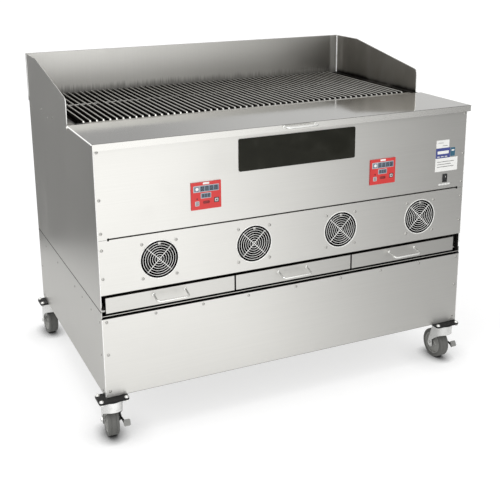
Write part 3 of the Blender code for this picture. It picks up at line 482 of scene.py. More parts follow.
def facing(point, direction):
    """A matrix at a point whose Z axis looks along a direction ('-y', '+x' and so on)."""
    quarter = math.pi / 2
    angle, axis = {"+z": (0.0, "X"), "-z": (math.pi, "X"), "-y": (quarter, "X"),
                   "+y": (-quarter, "X"), "+x": (quarter, "Y"), "-x": (-quarter, "Y")}[direction]
    return Matrix.Translation(point) @ Matrix.Rotation(angle, 4, axis)


def mesh_object(name, bm):
    """A linked object with outward faces, made from a bmesh that it uses up."""
    bmesh.ops.recalc_face_normals(bm, faces=bm.faces[:])
    mesh = bpy.data.meshes.new(name)
    bm.to_mesh(mesh)
    bm.free()
    thing = bpy.data.objects.new(name, mesh)
    bpy.context.scene.collection.objects.link(thing)
    return thing


def piece(name, bm, material, body, smooth=35.0):
    """Turn a bmesh in the row frame into a named piece that rides on a body."""
    thing = mesh_object(name, bm)
    thing.data.materials.append(material)
    thing.data.shade_smooth()
    thing.data.set_sharp_from_angle(angle=math.radians(smooth))
    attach(thing, body)
    return thing


def overlap(bm, other):
    """What two closed bmeshes share, by an exact Boolean, as a new bmesh."""
    objects = [mesh_object("work", part) for part in (bm, other)]
    step = objects[0].modifiers.new("overlap", "BOOLEAN")
    step.operation, step.solver, step.object = "INTERSECT", "EXACT", objects[1]
    made = bmesh.new()
    made.from_object(objects[0], bpy.context.evaluated_depsgraph_get())
    for thing in objects:
        bpy.data.objects.remove(thing, do_unlink=True)
    return made


# -------- finishes in use
FRONT = brushed("stainless_front", "x", marks=edge_shade_lines, across=UP)
SIDE = brushed("stainless_side", "z", across=DEEP)
TOP = brushed("stainless_top", "x", roughness=0.07, spread=0.02, marks=lid_bend_shade)
DRAWER = brushed("stainless_drawer", "x", (192, 191, 187), 0.3, across=UP)
LEDGE = brushed("stainless_ledge", "x", (196, 195, 190), 0.4, marks=ledge_shadow)
# Near-white and mostly diffuse: a painted highlight along rounded edges and welds.
GLINT = plated("painted_glint_edge", (250, 250, 248), 0.34, metallic=0.25)
# Near-black: the fans' own black parts, and painted shadow in gaps, notches and at the rims of the
# fan holes.
PIT = moulded("fan_black_and_painted_shadow", (5, 5, 6), 0.7, dusty=0.01, specular=0.03)
FORK_SHADE = moulded("fork_shadow", (18, 18, 19), 0.55, dusty=0.02)
BACK = brushed("stainless_back", "z", roughness=0.36, marks=heat_soot_and_shade)
WINGS = {name: brushed(f"stainless_wing_{name}", "z", marks=inside_wing(side), across=DEEP)
         for name, side in SIDES}
INSIDE = brushed("stainless_inside", "x", (150, 148, 142), 0.45)
IRON = cast_iron("seasoned_iron")
SOOT = sooted("sooted_steel_scale")
FRAME = fire_frame("grate_frame_soot")
PAINT = painted("black_paint", (12, 12, 12))
CHROME = plated("bright_plate", (232, 232, 230), 0.14, metallic=0.62)
BRIGHT = plated("bright_wire", (232, 232, 229), 0.18, metallic=0.8)
# Zinc wire, near-white and mostly diffuse: partly painted sheen.
GUARD = plated("guard_wire_painted_sheen", (248, 248, 245), 0.3, metallic=0.4)
SCREW = plated("screw_steel", (182, 181, 177), 0.26, metallic=0.9)
RIVET = plated("side_screw_steel", (158, 157, 153), 0.3)
TYRE = moulded("tyre_grey", (102, 102, 99), 0.62)
HUB = moulded("hub_grey", (158, 158, 154), 0.5)
PAD = moulded("pedal_grey", (150, 150, 147), 0.55)
BLACK = moulded("black_plastic_satin", (24, 24, 25), 0.42, dusty=0.05)
SIGN = moulded("sign_black", (36, 36, 30), 0.5, dusty=0.02, specular=0.1)
RED = moulded("red_overlay", (206, 52, 50), 0.42, dusty=0.03, grain=300.0)
WINDOW = moulded("display_window", (112, 128, 144), 0.28, dusty=0.02)
DARK_RED = moulded("red_key", (128, 26, 26), 0.4, dusty=0.02)
BUTTON = moulded("button_grey", (186, 184, 186), 0.45)
WHITE = moulded("label_white", (236, 236, 233), 0.48, dusty=0.03)
BLUE = moulded("label_blue", (62, 72, 138), 0.42, dusty=0.03)
INK = moulded("print_grey", (196, 196, 196), 0.5)
TEAL = moulded("label_teal", (44, 96, 118), 0.42, dusty=0.03)
DARK_INK = moulded("print_black", (30, 32, 36), 0.5)


def dress_nodes():
    """Give every CAD node that stays in view its finish."""
    groups = [(SIDE, "cart_left_side cart_right_side cart_back_panel"),
              (FRONT, "cart_front_panel control_panel fan_panel"), (LEDGE, "cart_deck"),
              (INSIDE, "cart_base hopper"), (TOP, "lid"), (BACK, "back_panel"),
              (FRAME, "grate_frame"), (SOOT, "firebox auger_left auger_right"),
              (PIT, "fan_carrier"), (RED, "controller_left controller_right"),
              (BLACK, "power_switch_body power_rocker")]
    groups += [(WINGS[name], f"body_{name}_side") for name, _ in SIDES]
    groups += [(PAINT, f"caster_plate_{name}") for name in CASTERS]
    groups += [(DRAWER, f"drawer_{name}") for name in DRAWERS]
    groups += [(PIT, f"fan_rotor_{i}") for i in FANS]
    for material, names in groups:
        for name in names.split():
            node = frame["nodes"][name]
            node.data.materials.clear()
            node.data.materials.append(material)


dress_nodes()


# -------- handles
def pulls():
    """Bent-rod pulls with small flanges at their feet. The drawers' ones slope down."""
    rod, bend = 0.003, 0.01
    foot = [(0, 0), (0.0052, 0), (0.0052, 0.0006), (0.0042, 0.0013), (0, 0.0013)]
    names = [("lid_handle", "lid", 0.0)]
    names += [(f"drawer_handle_{n}", f"drawer_{n}", 0.01) for n in DRAWERS]
    for node, body, drop in names:
        low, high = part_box(node)
        half = (high.x - low.x) / 2 - rod
        reach = high.y - low.y - rod
        centre = (low.x + high.x) / 2
        foot_z = high.z - rod
        path = [(-half, 0.0)] + arc((bend - half, reach - bend), bend, 180, 90, 8)
        path += [(-a, b) for a, b in reversed(path)]
        bm = bmesh.new()
        slope = drop / reach
        add_tube(bm, [(centre + a, high.y - b, foot_z - b * slope) for a, b in path], rod, 14)
        for _, side in SIDES:
            spot = (centre + side * half, high.y + 0.0001, foot_z)
            add_turned(bm, foot, facing(spot, "-y"), 18)
        pull = piece(f"{node}_rod", bm, BRIGHT, body, 50)
        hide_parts(node)


# -------- screws and bolts
PAN_HEAD = [(0, 0), (0.0046, 0), (0.0046, 0.0007), (0.0041, 0.0014), (0.003, 0.002),
            (0.0016, 0.0023), (0.0013, 0.0011), (0, 0.0011)]
FLAT_HEAD = [(0, 0), (0.0034, 0), (0.0034, 0.0004), (0.0029, 0.001), (0.0012, 0.0012),
             (0.001, 0.0006), (0, 0.0006)]
DOME_HEAD = [(0, 0), (0.0068, 0), (0.0066, 0.0018), (0.0056, 0.0038), (0.0036, 0.0052),
             (0.0016, 0.0058), (0, 0.0059)]


def screw_set(name, finish, head, spots):
    """One piece made of the same screw head at each (point, direction)."""
    bm = bmesh.new()
    for spot, look in spots:
        add_turned(bm, head, facing(spot, look), 16)
    piece(name, bm, finish, "body", 40)


def screws():
    """Pan heads on the front and back panels, flatter heads on the sides."""
    edge = HALF_WIDTH - 0.01
    panel_rows, cart_rows = (0.7455, 0.608, 0.51, 0.46, 0.374), (0.24, 0.137, 0.02)
    ends = [side for _, side in SIDES]
    front = [(side * edge, z) for side in ends for z in panel_rows]
    front += [(side * (edge - 0.004), z) for side in ends for z in cart_rows]
    front += [(x, 0.241) for x in (-0.471, -0.32, -0.169, -0.003, 0.161, 0.314, 0.467)]
    screw_set("front_screws", SCREW, PAN_HEAD, [(at(x, 0.0, z), "-y") for x, z in front])
    flank = [(y, 0.237) for y in (0.119, 0.224, 0.318, 0.555, 0.735)]
    flank += [(0.026, z) for z in (0.233, 0.13, 0.015)]
    flank += [(0.828, z) for z in (0.233, 0.13, 0.015, 0.3, 0.45, 0.6, 0.735)]
    flank += [(0.65, 0.756), (0.565, 0.742), (0.485, 0.756)]
    screw_set("side_screws", RIVET, FLAT_HEAD,
              [(at(side * HALF_WIDTH, y, z), OUTWARD[side]) for side in ends for y, z in flank])
    back = [(side * 0.615, z) for side in ends
            for z in (0.02, 0.137, 0.24, 0.3, 0.45, 0.6, 0.72)]
    back += [(i * 0.18, z) for i in range(-3, 4) for z in (0.25, 0.295)]
    screw_set("back_screws", SCREW, PAN_HEAD, [(at(x, BODY_DEPTH, z), "+y") for x, z in back])


# -------- fan guards
def fan_guards():
    """Finger guards of concentric wires on two crossed spokes, with their corner screws."""
    inner, ring_step, wire = 0.0068, 0.0073, 0.00074
    outer, spoke = 0.0594, 0.059
    washer = [(0, 0), (0.0047, 0), (0.0047, 0.0007), (0.0041, 0.001), (0, 0.001)]
    rim_shadow_ring = [(0.053, 0.0), (0.059, 0.0), (0.059, 0.0004), (0.053, 0.0004)]
    corners = [Vector((x, 0, z)) * 0.0524 for x, z in QUARTERS]
    for i in FANS:
        face = centred(f"fan_guard_{i}", FRONT_Y)
        plane = facing(face, "-y")
        bm = bmesh.new()
        for k in range(8):
            add_loop(bm, circle(wire, 8, (inner + k * ring_step, 0.0)), plane, 56)
        add_loop(bm, circle(0.0009, 8, (outer, 0.0004)), plane, 64)
        for x in (1, -1):
            reach = Vector((x, 0, 1)).normalized() * spoke
            spot = face + Vector((0, 0.0008, 0))
            add_tube(bm, [spot - reach, spot + reach], 0.0011, 8)
        for corner in corners:
            add_turned(bm, washer, facing(face + corner, "-y"), 20)
        # A near-black ring at the rim of each fan hole: painted shadow widening the hole's dark
        # edge.
        rim_shadow = bmesh.new()
        add_loop(rim_shadow, rim_shadow_ring, plane, 64)
        piece(f"fan_rim_shadow_{i}", rim_shadow, PIT, "body")
        guard = piece(f"fan_grille_{i}", bm, GUARD, "body", 50)
        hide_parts(f"fan_guard_{i}")
        heads = bmesh.new()
        for corner in corners:
            add_turned(heads, PAN_HEAD, facing(face + corner - Vector((0, 0.001, 0)), "-y"), 16)
        clip = facing(face + Vector((0.0012, 0.0012, 0.0505)), "-y")
        add_slab(heads, rounded(0.0085, 0.011, 0.002), clip, 0.0014, 0.0004)
        piece(f"fan_screws_{i}", heads, SCREW, "body", 40)


# -------- casters
WHEEL_RADIUS = 0.0508
TRAIL = 0.035
CROWN = 0.031
SKIRT = -0.038
BOLT_X, BOLT_Y = 0.038, 0.0225


def yoke_profile(axle):
    """Side outline of the yoke: skirt in front, legs swept back to the axle."""
    points = [(-0.034, 0.001), (-0.034, SKIRT)]
    for i in range(9):
        t = i / 8
        points.append((-0.034 + 0.058 * t ** 0.75, SKIRT + (axle + 0.018 - SKIRT) * t ** 1.2))
    points += arc((TRAIL, axle), 0.0125, 165, 381, 8)
    return points + [(0.03, -0.04), (0.021, -0.016), (0.019, 0.001)]


def yoke_wall():
    """Plan outline of the yoke's bent wall, open at the back."""
    outline = []
    for radius, order in ((CROWN, 1), (CROWN - 0.0026, -1)):
        bend = [(radius, 0.075)] + arc((0, 0), radius, 0, -180, 18) + [(-radius, 0.075)]
        outline += bend[::order]
    return outline


def yoke(top, axle):
    """A pressed fork: rounded crown, skirt, and legs that close in on the axle, with its bolt."""
    walls = bmesh.new()
    add_prism(walls, yoke_wall(), lambda h, a, b: Vector((a, b, h)), axle - 0.03, top)
    profile = bmesh.new()
    add_prism(profile, yoke_profile(axle), lambda h, a, b: Vector((h, a, b)), -0.05, 0.05)
    bm = overlap(walls, profile)
    # Faces on the inner side of the fork wall take the second material: painted shadow inside the
    # fork.
    for face in bm.faces:
        for vert in face.verts:
            spread = abs(vert.co.x) if vert.co.y > 0 else math.hypot(vert.co.x, vert.co.y)
            if spread < CROWN - 0.0008:
                face.material_index = 1
    bend_z, narrowing = top - 0.012, 0.14
    for vert in bm.verts:
        vert.co.x *= 1 - narrowing * max(0.0, (bend_z - vert.co.z) / (bend_z - axle))
    crown = [(0, top), (CROWN - 0.004, top), (CROWN - 0.0014, top - 0.0008),
             (CROWN - 0.0002, top - 0.003), (CROWN - 0.0002, top - 0.005),
             (CROWN - 0.0027, top - 0.005), (0, top - 0.005)]
    add_turned(bm, crown, Matrix.Identity(4), 40)
    for _, side in SIDES:
        out = facing((side * 0.0264, TRAIL, axle), OUTWARD[side])
        add_turned(bm, [(0, 0), (0.009, 0), (0.009, 0.001), (0, 0.001)], out, 24)
        add_turned(bm, [(0, 0.001), (0.007, 0.001), (0.007, 0.0042), (0.0058, 0.0052),
                        (0, 0.0052)], out, 6)
    add_turned(bm, [(0, 0), (0.0046, 0), (0.0046, 0.053), (0, 0.053)],
               facing((-0.0265, TRAIL, axle), "+x"), 16)
    return bm


def tyre_profile():
    """Section of the tyre: rounded shoulders and two shallow grooves."""
    half, shoulder = 0.0168, 0.0035
    points = [(0.0382, -half), (0.0455, -half)]
    points += arc((0.0473, shoulder - half), shoulder, -90, 0, 6)
    for groove in (-0.0075, 0.0075):
        points += [(WHEEL_RADIUS, groove - 0.0009), (WHEEL_RADIUS - 0.001, groove),
                   (WHEEL_RADIUS, groove + 0.0009)]
    points += arc((0.0473, half - shoulder), shoulder, 0, 90, 6)
    return points + [(0.0455, half), (0.0382, half)]


HUB_HALF = [(0.0056, 0.0178), (0.011, 0.0178), (0.0124, 0.015), (0.015, 0.0118),
            (0.022, 0.0104), (0.033, 0.0112), (0.0352, 0.016), (0.0381, 0.0164)]
HUB_PROFILE = [(r, -h) for r, h in HUB_HALF] + HUB_HALF[::-1]
NUT = [(0, 0), (0.0068, 0), (0.0068, 0.004), (0.0056, 0.005), (0.0032, 0.005),
       (0.0032, 0.0066), (0, 0.0066)]


def casters():
    """Yoke, race, tyre, hub, plate bolts and brake of each caster, turned as its wheel is."""
    axes = {j["child"]: Vector(j["axis"]) for j in frame["joints"] if j["name"].startswith("roll_")}
    axle = WHEEL_RADIUS - BASE_Z
    for name in CASTERS:
        axis = axes[f"wheel_{name}"]
        low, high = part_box(f"caster_plate_{name}")
        pivot = Vector(((low.x + high.x) / 2, (low.y + high.y) / 2, BASE_Z))
        spin = Matrix.Translation(pivot) @ Matrix.Rotation(math.atan2(axis.y, axis.x), 4, "Z")
        top = low.z - BASE_Z - 0.0003
        fork_mesh = yoke(top - 0.0012, axle)
        fork_mesh.transform(spin)
        fork = piece(f"caster_yoke_{name}", fork_mesh, CHROME, f"caster_{name}", 32)
        # Second material: painted shadow on the fork's inner faces.
        fork.data.materials.append(FORK_SHADE)
        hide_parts(f"caster_fork_{name}")
        race = bmesh.new()
        add_turned(race, [(0, top), (0.0262, top), (0.0272, top - 0.0006), (0.0272, top - 0.0012),
                          (0, top - 0.0012)], Matrix.Translation(pivot), 40)
        piece(f"caster_race_{name}", race, PAINT, f"caster_{name}")
        hub_at = spin @ facing((0, TRAIL, axle), "+x")
        tyre = bmesh.new()
        add_loop(tyre, tyre_profile(), hub_at, 64)
        band = piece(f"caster_tyre_{name}", tyre, TYRE, f"wheel_{name}", 28)
        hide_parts(f"caster_wheel_{name}")
        hub = bmesh.new()
        add_loop(hub, HUB_PROFILE, hub_at, 48)
        piece(f"caster_hub_{name}", hub, HUB, f"wheel_{name}", 28)
        bolts = bmesh.new()
        for x, y in QUARTERS:
            spot = pivot + Vector((x * BOLT_X, y * BOLT_Y, 0))
            local = spot - at(0, 0, 0)
            if abs(local.x) >= HALF_WIDTH + 0.004 or not -0.004 < local.y < BODY_DEPTH + 0.004:
                add_turned(bolts, DOME_HEAD, facing((spot.x, spot.y, high.z), "+z"), 20)
            add_turned(bolts, NUT, facing((spot.x, spot.y, low.z), "-z"), 6)
        piece(f"caster_bolts_{name}", bolts, BRIGHT, "body", 40)
        if name in BRAKED:
            brake(name, spin, axle)


def brake(name, spin, axle):
    """A bent pedal arm with a ribbed grey foot pad."""
    base = spin @ Matrix.Translation((0.029, TRAIL, axle))
    arm = bmesh.new()
    add_loop(arm, [(0.0053, -0.0012), (0.01, -0.0012), (0.01, 0.0012), (0.0053, 0.0012)],
             base @ facing((0, 0, 0), "+x"), 32)
    route = ((0.0, -0.009, 0.001), (0.0, -0.018, 0.0042), (0.0008, -0.028, 0.005),
             (0.0024, -0.036, 0.003), (0.0044, -0.0425, -0.002), (0.006, -0.047, -0.009))
    add_tube(arm, [base @ Vector(p) for p in route], 0.0034, 10)
    lever = piece(f"brake_arm_{name}", arm, PAINT, f"brake_{name}", 45)
    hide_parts(f"brake_pedal_{name}")
    tilt = Matrix.Rotation(math.radians(62), 4, "X")
    pad = bmesh.new()
    spot = base @ Matrix.Translation((0.01, -0.0455, 0.002)) @ tilt
    add_slab(pad, rounded(0.02, 0.02, 0.004), spot, 0.006, 0.0012)
    for i in range(4):
        rib = spot @ Matrix.Translation((0, (i - 1.5) * 0.0042, 0.0058))
        add_slab(pad, rounded(0.015, 0.0018, 0.0008), rib, 0.001, 0.0003)
    piece(f"brake_pad_{name}", pad, PAD, f"brake_{name}", 40)


# -------- front fittings
def sign_plate():
    """The name plate, plain black."""
    low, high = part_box("name_plate")
    bm = bmesh.new()
    add_slab(bm, rounded(high.x - low.x, high.z - low.z, 0.005),
             facing(centred("name_plate", high.y), "-y"), high.y - low.y, 0.0006)
    plate = piece("sign_plate", bm, SIGN, "body", 40)
    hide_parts("name_plate")


def add_patch(bm, centre, x, z, width, height, thick, radius, corner=2, rim=0.0):
    """A thin plate with round corners, facing forward, at x and z from a centre."""
    spot = centre + Vector((x, 0.0001, z))
    add_slab(bm, rounded(width, height, radius, corner), facing(spot, "-y"), thick, rim)


LARGE = [(-0.012 + i * 0.0142, 0.0215) for i in range(4)]
SMALL = [(-0.01 + i * 0.009, 0.0) for i in range(3)]
# A controller's pieces: name, finish, slot, and patches as across, up, width, height,
# thickness and corner radius
FACE = (
    ("frames", BUTTON, "red_plastic", [
        (0.0, 0.0215, 0.081, 0.02, 0.0004, 0.0015),
        (-0.001, 0.0, 0.033, 0.0165, 0.0004, 0.0015),
        (-0.029, -0.0225, 0.0135, 0.0145, 0.0006, 0.002),
        (0.0325, -0.017, 0.0112, 0.0108, 0.0008, 0.002)]),
    ("display", WINDOW, "black_plastic", [
        (0.0095, 0.0215, 0.06, 0.0168, 0.0008, 0.0015),
        (-0.001, 0.0, 0.03, 0.0135, 0.0008, 0.0015),
        (-0.0305, 0.0215, 0.015, 0.015, 0.0007, 0.0015)]),
    ("keys", WHITE, "red_plastic", [(0.0, 0.0372, 0.02, 0.006, 0.0006, 0.0015)]),
    ("marks", DARK_INK, "black_plastic", [(x, z, 0.01, 0.0134, 0.001, 0.0012) for x, z in LARGE]
     + [(x, z, 0.0066, 0.01, 0.001, 0.001) for x, z in SMALL]
     + [(0.0325, -0.017, 0.0155, 0.015, 0.0004, 0.002),
        (0.0325, -0.017, 0.0045, 0.004, 0.0012, 0.001),
        (-0.029, -0.008, 0.004, 0.004, 0.0008, 0.0018)]
     + [(-0.029, -0.026 + k * 0.0036, 0.0085, 0.0013, 0.0009, 0.0004) for k in range(3)]),
    ("digits", WINDOW, "black_plastic", []),
    ("oval", DARK_RED, "red_plastic", [(0.0, -0.0205, 0.0215, 0.0085, 0.0008, 0.0036)]))


def overlay(name):
    """Display windows, keys and lamps on a red controller face."""
    node = f"controller_{name}"
    centre = centred(node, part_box(node)[0].y)
    for kind, finish, slot, patches in FACE:
        bm = bmesh.new()
        for x, z, width, height, thick, radius in patches:
            add_patch(bm, centre, x, z, width, height, thick, radius, 3, min(0.0002, thick / 3))
        if kind == "keys":
            add_turned(bm, [(0, 0), (0.0048, 0), (0.0048, 0.0011), (0.004, 0.0014), (0, 0.0014)],
                       facing(centre + Vector((-0.029, 0.0001, 0.0215)), "-y"), 20)
        if kind == "digits":
            for x, z in LARGE:
                add_digit(bm, centre + Vector((x, 0, z)), 0.005, 0.0085)
            for x, z in SMALL:
                add_digit(bm, centre + Vector((x, 0, z)), 0.0034, 0.0064)
        piece(f"{kind}_{name}", bm, finish, "body")


def add_digit(bm, centre, width, height):
    """An unlit seven-segment figure eight."""
    bar = width * 0.24
    lift, radius = 0.0013, bar * 0.4
    for z in (-height / 2, 0, height / 2):
        add_patch(bm, centre, 0, z, width * 0.7, bar, lift, radius)
    for x, z in QUARTERS:
        add_patch(bm, centre, x * width / 2, z * height / 4, bar, height * 0.36, lift, radius)


# Label pieces: name, finish, lift off the panel, and patches as left, right, low and high
LABELS = (
    ("label_plates_white", WHITE, 0.0,
     [(0.516, 0.568, 0.6345, 0.661), (0.515, 0.605, 0.554, 0.5995)]
     + [(0.5325 + k * 0.0118, 0.5425 + k * 0.0118, 0.5055, 0.5115) for k in range(4)]),
    ("label_plate_blue", BLUE, 0.0, [(0.516, 0.573, 0.6, 0.634)]),
    ("label_plate_teal", TEAL, 0.0, [(0.5745, 0.593, 0.603, 0.6325)]),
    ("label_bands_white", WHITE, 0.0002,
     [(0.522, 0.567, 0.614, 0.624), (0.578, 0.59, 0.621, 0.6255)]
     + [(0.521 + 0.015 * k, 0.532 + 0.015 * k, 0.6035, 0.6062) for k in range(3)]),
    ("label_rules", INK, 0.0003, [(0.523, 0.545, 0.65, 0.6535), (0.541, 0.562, 0.6405, 0.6425)]
     + [(0.522, right, 0.5862 - i * 0.0085, 0.5878 - i * 0.0085)
        for i, right in enumerate((0.59, 0.578, 0.59))]))


def labels():
    """Blank plates where the rating labels sit, and the blank strip under the switch."""
    for name, finish, lift, patches in LABELS:
        bm = bmesh.new()
        for left, right, low, high in patches:
            add_patch(bm, at(0, -lift, 0), (left + right) / 2, (low + high) / 2,
                      right - left, high - low, 0.0004, 0.0015)
        piece(name, bm, finish, "body")


def rocker_marks():
    """The upright stroke on the rocker's upper half."""
    spot = centred("power_rocker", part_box("power_rocker")[0].y) + Vector((0, 0.0012, 0.0045))
    bm = bmesh.new()
    tilt = Matrix.Rotation(math.radians(9), 4, "X")
    add_slab(bm, rounded(0.001, 0.005, 0.0004, 2), facing(spot, "-y") @ tilt, 0.0012)
    piece("rocker_mark", bm, WHITE, "rocker")


def seams():
    """The closed ends of the slot between the front panels, and strips of painted shadow in the
    notches at its ends, across the bridges and along the sheets' joints.
    """
    low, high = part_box("fan_panel")[1].z, PANEL_LOW.z
    slot = Vector((MID_X, FRONT_Y, (low + high) / 2))
    bridges = bmesh.new()
    dark = bmesh.new()
    for start, end, notch in ((-HALF_WIDTH, -0.607, -0.6045), (0.611, HALF_WIDTH, 0.6085)):
        width, x = end - start, (start + end) / 2
        add_patch(bridges, slot + Vector((0, 0.0019, 0)), x, 0.0,
                  width, high - low + 0.0002, 0.0019, 0.0003)
        # Painted shadow in the notch at the slot's end, and a painted shadow line across the
        # bridge.
        add_patch(dark, slot, notch, -0.001, 0.0055, 0.0085, 0.0003, 0.0008)
        add_patch(dark, slot + Vector((0, 0.0001, 0)), x, -0.0016,
                  width - 0.004, 0.0007, 0.0002, 0.0003)
    # Painted shadow strips along the joint between the cart's and the body's side sheets.
    level = (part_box("cart_left_side")[1].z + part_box("body_left_side")[0].z) / 2
    for _, side in SIDES:
        spot = (MID_X + side * (HALF_WIDTH - 0.0001), FRONT_Y + BODY_DEPTH / 2, level)
        add_slab(dark, rounded(0.0026, BODY_DEPTH - 0.004, 0.001, 2),
                 facing(spot, OUTWARD[side]), 0.0003)
    piece("slot_bridges", bridges, FRONT, "body")
    piece("painted_shadow_gaps", dark, PIT, "body")


def grates():
    """Cast grates: rounded bars with turned-down noses over cross ribs."""
    bars, half_bar, nose = 7, 0.00425, 0.0065
    section = mirrored([(-0.00275, 0.0), (-0.0033, 0.011), (-0.0034, 0.013), (-0.003, 0.0158),
                        (-0.0018, 0.0175), (0.0, 0.018)])
    rib = mirrored([(-0.0045, 0.001), (-0.0045, 0.0125), (-0.003, 0.015), (0.0, 0.016)])
    ends = [(nose * t, 0.42 + 0.58 * math.sqrt(1 - (1 - t) ** 2)) for t in (0, 0.1, 0.3, 0.6, 1)]
    for i in GRATES:
        low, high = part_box(f"grate_{i}")
        stations = [(low.y + into, tall) for into, tall in ends]
        stations += [(high.y - into, tall) for into, tall in reversed(ends)]
        bm = bmesh.new()
        for k in range(bars):
            x = low.x + half_bar + k * (high.x - low.x - 2 * half_bar) / (bars - 1)
            join_rings(bm, [[bm.verts.new((x + a * (1.35 - 0.35 * tall), y, low.z + b * tall))
                             for a, b in section] for y, tall in stations])
        for y, tall in ((0.311, 0.62), (MIDDLE_RIB, 1.0), (0.835, 0.9)):
            add_prism(bm, [(a + FRONT_Y + y, b * tall + low.z) for a, b in rib],
                      lambda h, a, b: Vector((h, a, b)), low.x + 0.0026, high.x - 0.0026)
        iron = piece(f"grate_bars_{i}", bm, IRON, f"grate_{i}", 40)
        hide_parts(f"grate_{i}")


def edge_beads():
    """Rounded edges on the lid, the wings and the front corners; the lid's, the wings' upright ones
    and the front corners' carry a near-white painted highlight.
    """
    low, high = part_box("lid")
    lid = bmesh.new()
    bend = 0.0019
    hinge_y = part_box("grate_frame")[0].y - 0.003
    for x in (low.x + 0.0011, high.x - 0.0011):
        z = high.z - 0.0014
        add_tube(lid, [(x, low.y + bend, z), (x, hinge_y, z)], bend, 12)
    piece("lid_side_bends", lid, GLINT, "lid", 60)
    upright = bmesh.new()
    sloping = bmesh.new()
    edge, corner = 0.0012, 0.018
    front, shoulder, top = 0.29, 0.853, 0.9205 - edge
    foot, slope_end, splash = 0.7705, 0.7, 0.8655
    for _, side in SIDES:
        x = side * (HALF_WIDTH - 0.001)
        path = [(x, front + edge, foot), (x, front + edge, shoulder - corner)]
        for degrees in (160, 140, 120, 102):
            t = math.radians(degrees)
            path.append((x, front + corner + (corner - edge) * math.cos(t),
                         shoulder - corner + (corner - edge) * math.sin(t)))
        path += [(x, slope_end, top), (x, splash, top)]
        add_tube(upright, [at(*p) for p in path[:4]], edge + 0.0003, 10)
        add_tube(sloping, [at(*p) for p in path[3:]], edge, 10)
        x = side * (HALF_WIDTH - 0.0007)
        for low, high in ((0.29, 0.754), (0.004, 0.25)):
            add_tube(upright, [at(x, 0.0007, low), at(x, 0.0007, high)], edge, 8)
    piece("upright_edges", upright, GLINT, "body", 60)
    piece("sloping_edges", sloping, SIDE, "body", 60)


def hinge_pins():
    """A washer around each end of the lid's hinge pin."""
    washer = [(0.0032, 0), (0.0062, 0), (0.0062, 0.0008), (0.0052, 0.0014), (0.0032, 0.0014)]
    bm = bmesh.new()
    _, y, z = next(j["pos_m"] for j in frame["joints"] if j["name"] == "lid_hinge")
    for _, side in SIDES:
        spot = (MID_X + side * HALF_WIDTH, y, z)
        add_turned(bm, washer, facing(spot, OUTWARD[side]), 24)
    piece("hinge_washers", bm, SCREW, "body", 40)


def corner_welds():
    """Ground weld beads where the wings meet the backsplash, near-white as a painted highlight."""
    inset, steps = 0.0022, 24
    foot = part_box("grate_frame")[1].z + 0.001
    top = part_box("back_panel")[1].z - 0.001
    y = FRONT_Y + BODY_DEPTH - inset
    bm = bmesh.new()
    for _, side in SIDES:
        x = MID_X + side * (HALF_WIDTH - inset)
        add_tube(bm, [(x, y, foot + (top - foot) * i / steps) for i in range(steps + 1)], 0.0035, 8)
    piece("corner_welds", bm, GLINT, "body", 60)


grates()
edge_beads()
pulls()
screws()
fan_guards()
casters()
sign_plate()
overlay("left")
overlay("right")
labels()
rocker_marks()
seams()
hinge_pins()
corner_welds()


# -------- floor, light and camera
CONTACT_REACH, CONTACT_POWER = 0.04, 1.5
SHADOW_REACH, SHADOW_POWER = 0.13, 0.6
FLOOR_SEEN = 0.66
# Floor glow seen only in reflections: painted light, brighter ahead on the left, dimmer to the
# right.
FLOOR_LEFT, FLOOR_RIGHT, FLOOR_SIDE = 0.92, 0.2, 0.35
SKY_SEEN = 1.1
OVERHEAD = 0.95
BRIGHTEST = 2.5
HORIZON, ROOF = (-0.06, 0.1), (0.27, 0.37)
# Light by bearing, in degrees from the front towards the right, below the horizon and above
AROUND_LOW = ((-180, 0.4), (-165, 0.24), (-145, 0.18), (-105, 0.2), (-66, 1.5), (-40, 0.85),
              (-14, 1.2), (0, 1.55), (12, 1.84), (20, 1.74), (38, 0.46), (55, 0.3),
              (100, 0.32), (140, 0.38), (180, 0.4))
AROUND_HIGH = ((-180, 0.4), (-170, 1.0), (-158, 1.8), (-138, 1.8), (-110, 1.1), (-66, 1.6),
               (-40, 0.85), (0, 1.74), (20, 1.75), (38, 0.44), (55, 0.36), (100, 0.34),
               (142, 0.72), (153, 0.66), (164, 0.46), (180, 0.42))


def floor():
    """A pale floor that glows a little, with dark contact shadows under whatever stands on it, and
    to reflections a painted glow, brighter ahead of the body on the left.
    """
    f = Finish("floor_white", roughness=0.85, specular=0.0)
    shadows = []
    for reach, power in ((CONTACT_REACH, CONTACT_POWER), (SHADOW_REACH, SHADOW_POWER)):
        open_sky = f.add("ShaderNodeAmbientOcclusion", {"Distance": reach}, samples=8).outputs["AO"]
        shadows.append(f.calc("POWER", open_sky, power))
    contact = f.times(*shadows)
    # To reflections only, the floor glows brighter ahead of the body on the left and dimmer to the
    # right: painted light.
    ahead = f.span(f.axis("Y"), -0.45, -0.75)
    sweep = f.span(f.axis("X"), -0.1, 0.85, FLOOR_LEFT - FLOOR_SIDE, FLOOR_RIGHT - FLOOR_SIDE)
    away = f.plus(f.times(ahead, sweep), FLOOR_SIDE)
    seen = f.add("ShaderNodeLightPath").outputs["Is Camera Ray"]
    glow = f.plus(f.times(seen, contact, FLOOR_SEEN), f.times(f.calc("SUBTRACT", 1.0, seen), away))
    f.put("Emission Color", (1.0, 1.0, 1.0, 1.0))
    f.put("Emission Strength", glow)
    pale = f.mix(f.span(f.noise(60.0), 0.3, 0.7), (0.4, 0.4, 0.4, 1.0), (0.42, 0.42, 0.42, 1.0))
    material = f.done(f.mix(contact, (0.0, 0.0, 0.0, 1.0), pale))
    bm = bmesh.new()
    bmesh.ops.create_circle(bm, cap_ends=True, segments=96, radius=1.7)
    ground = mesh_object("floor", bm)
    ground.data.materials.append(material)


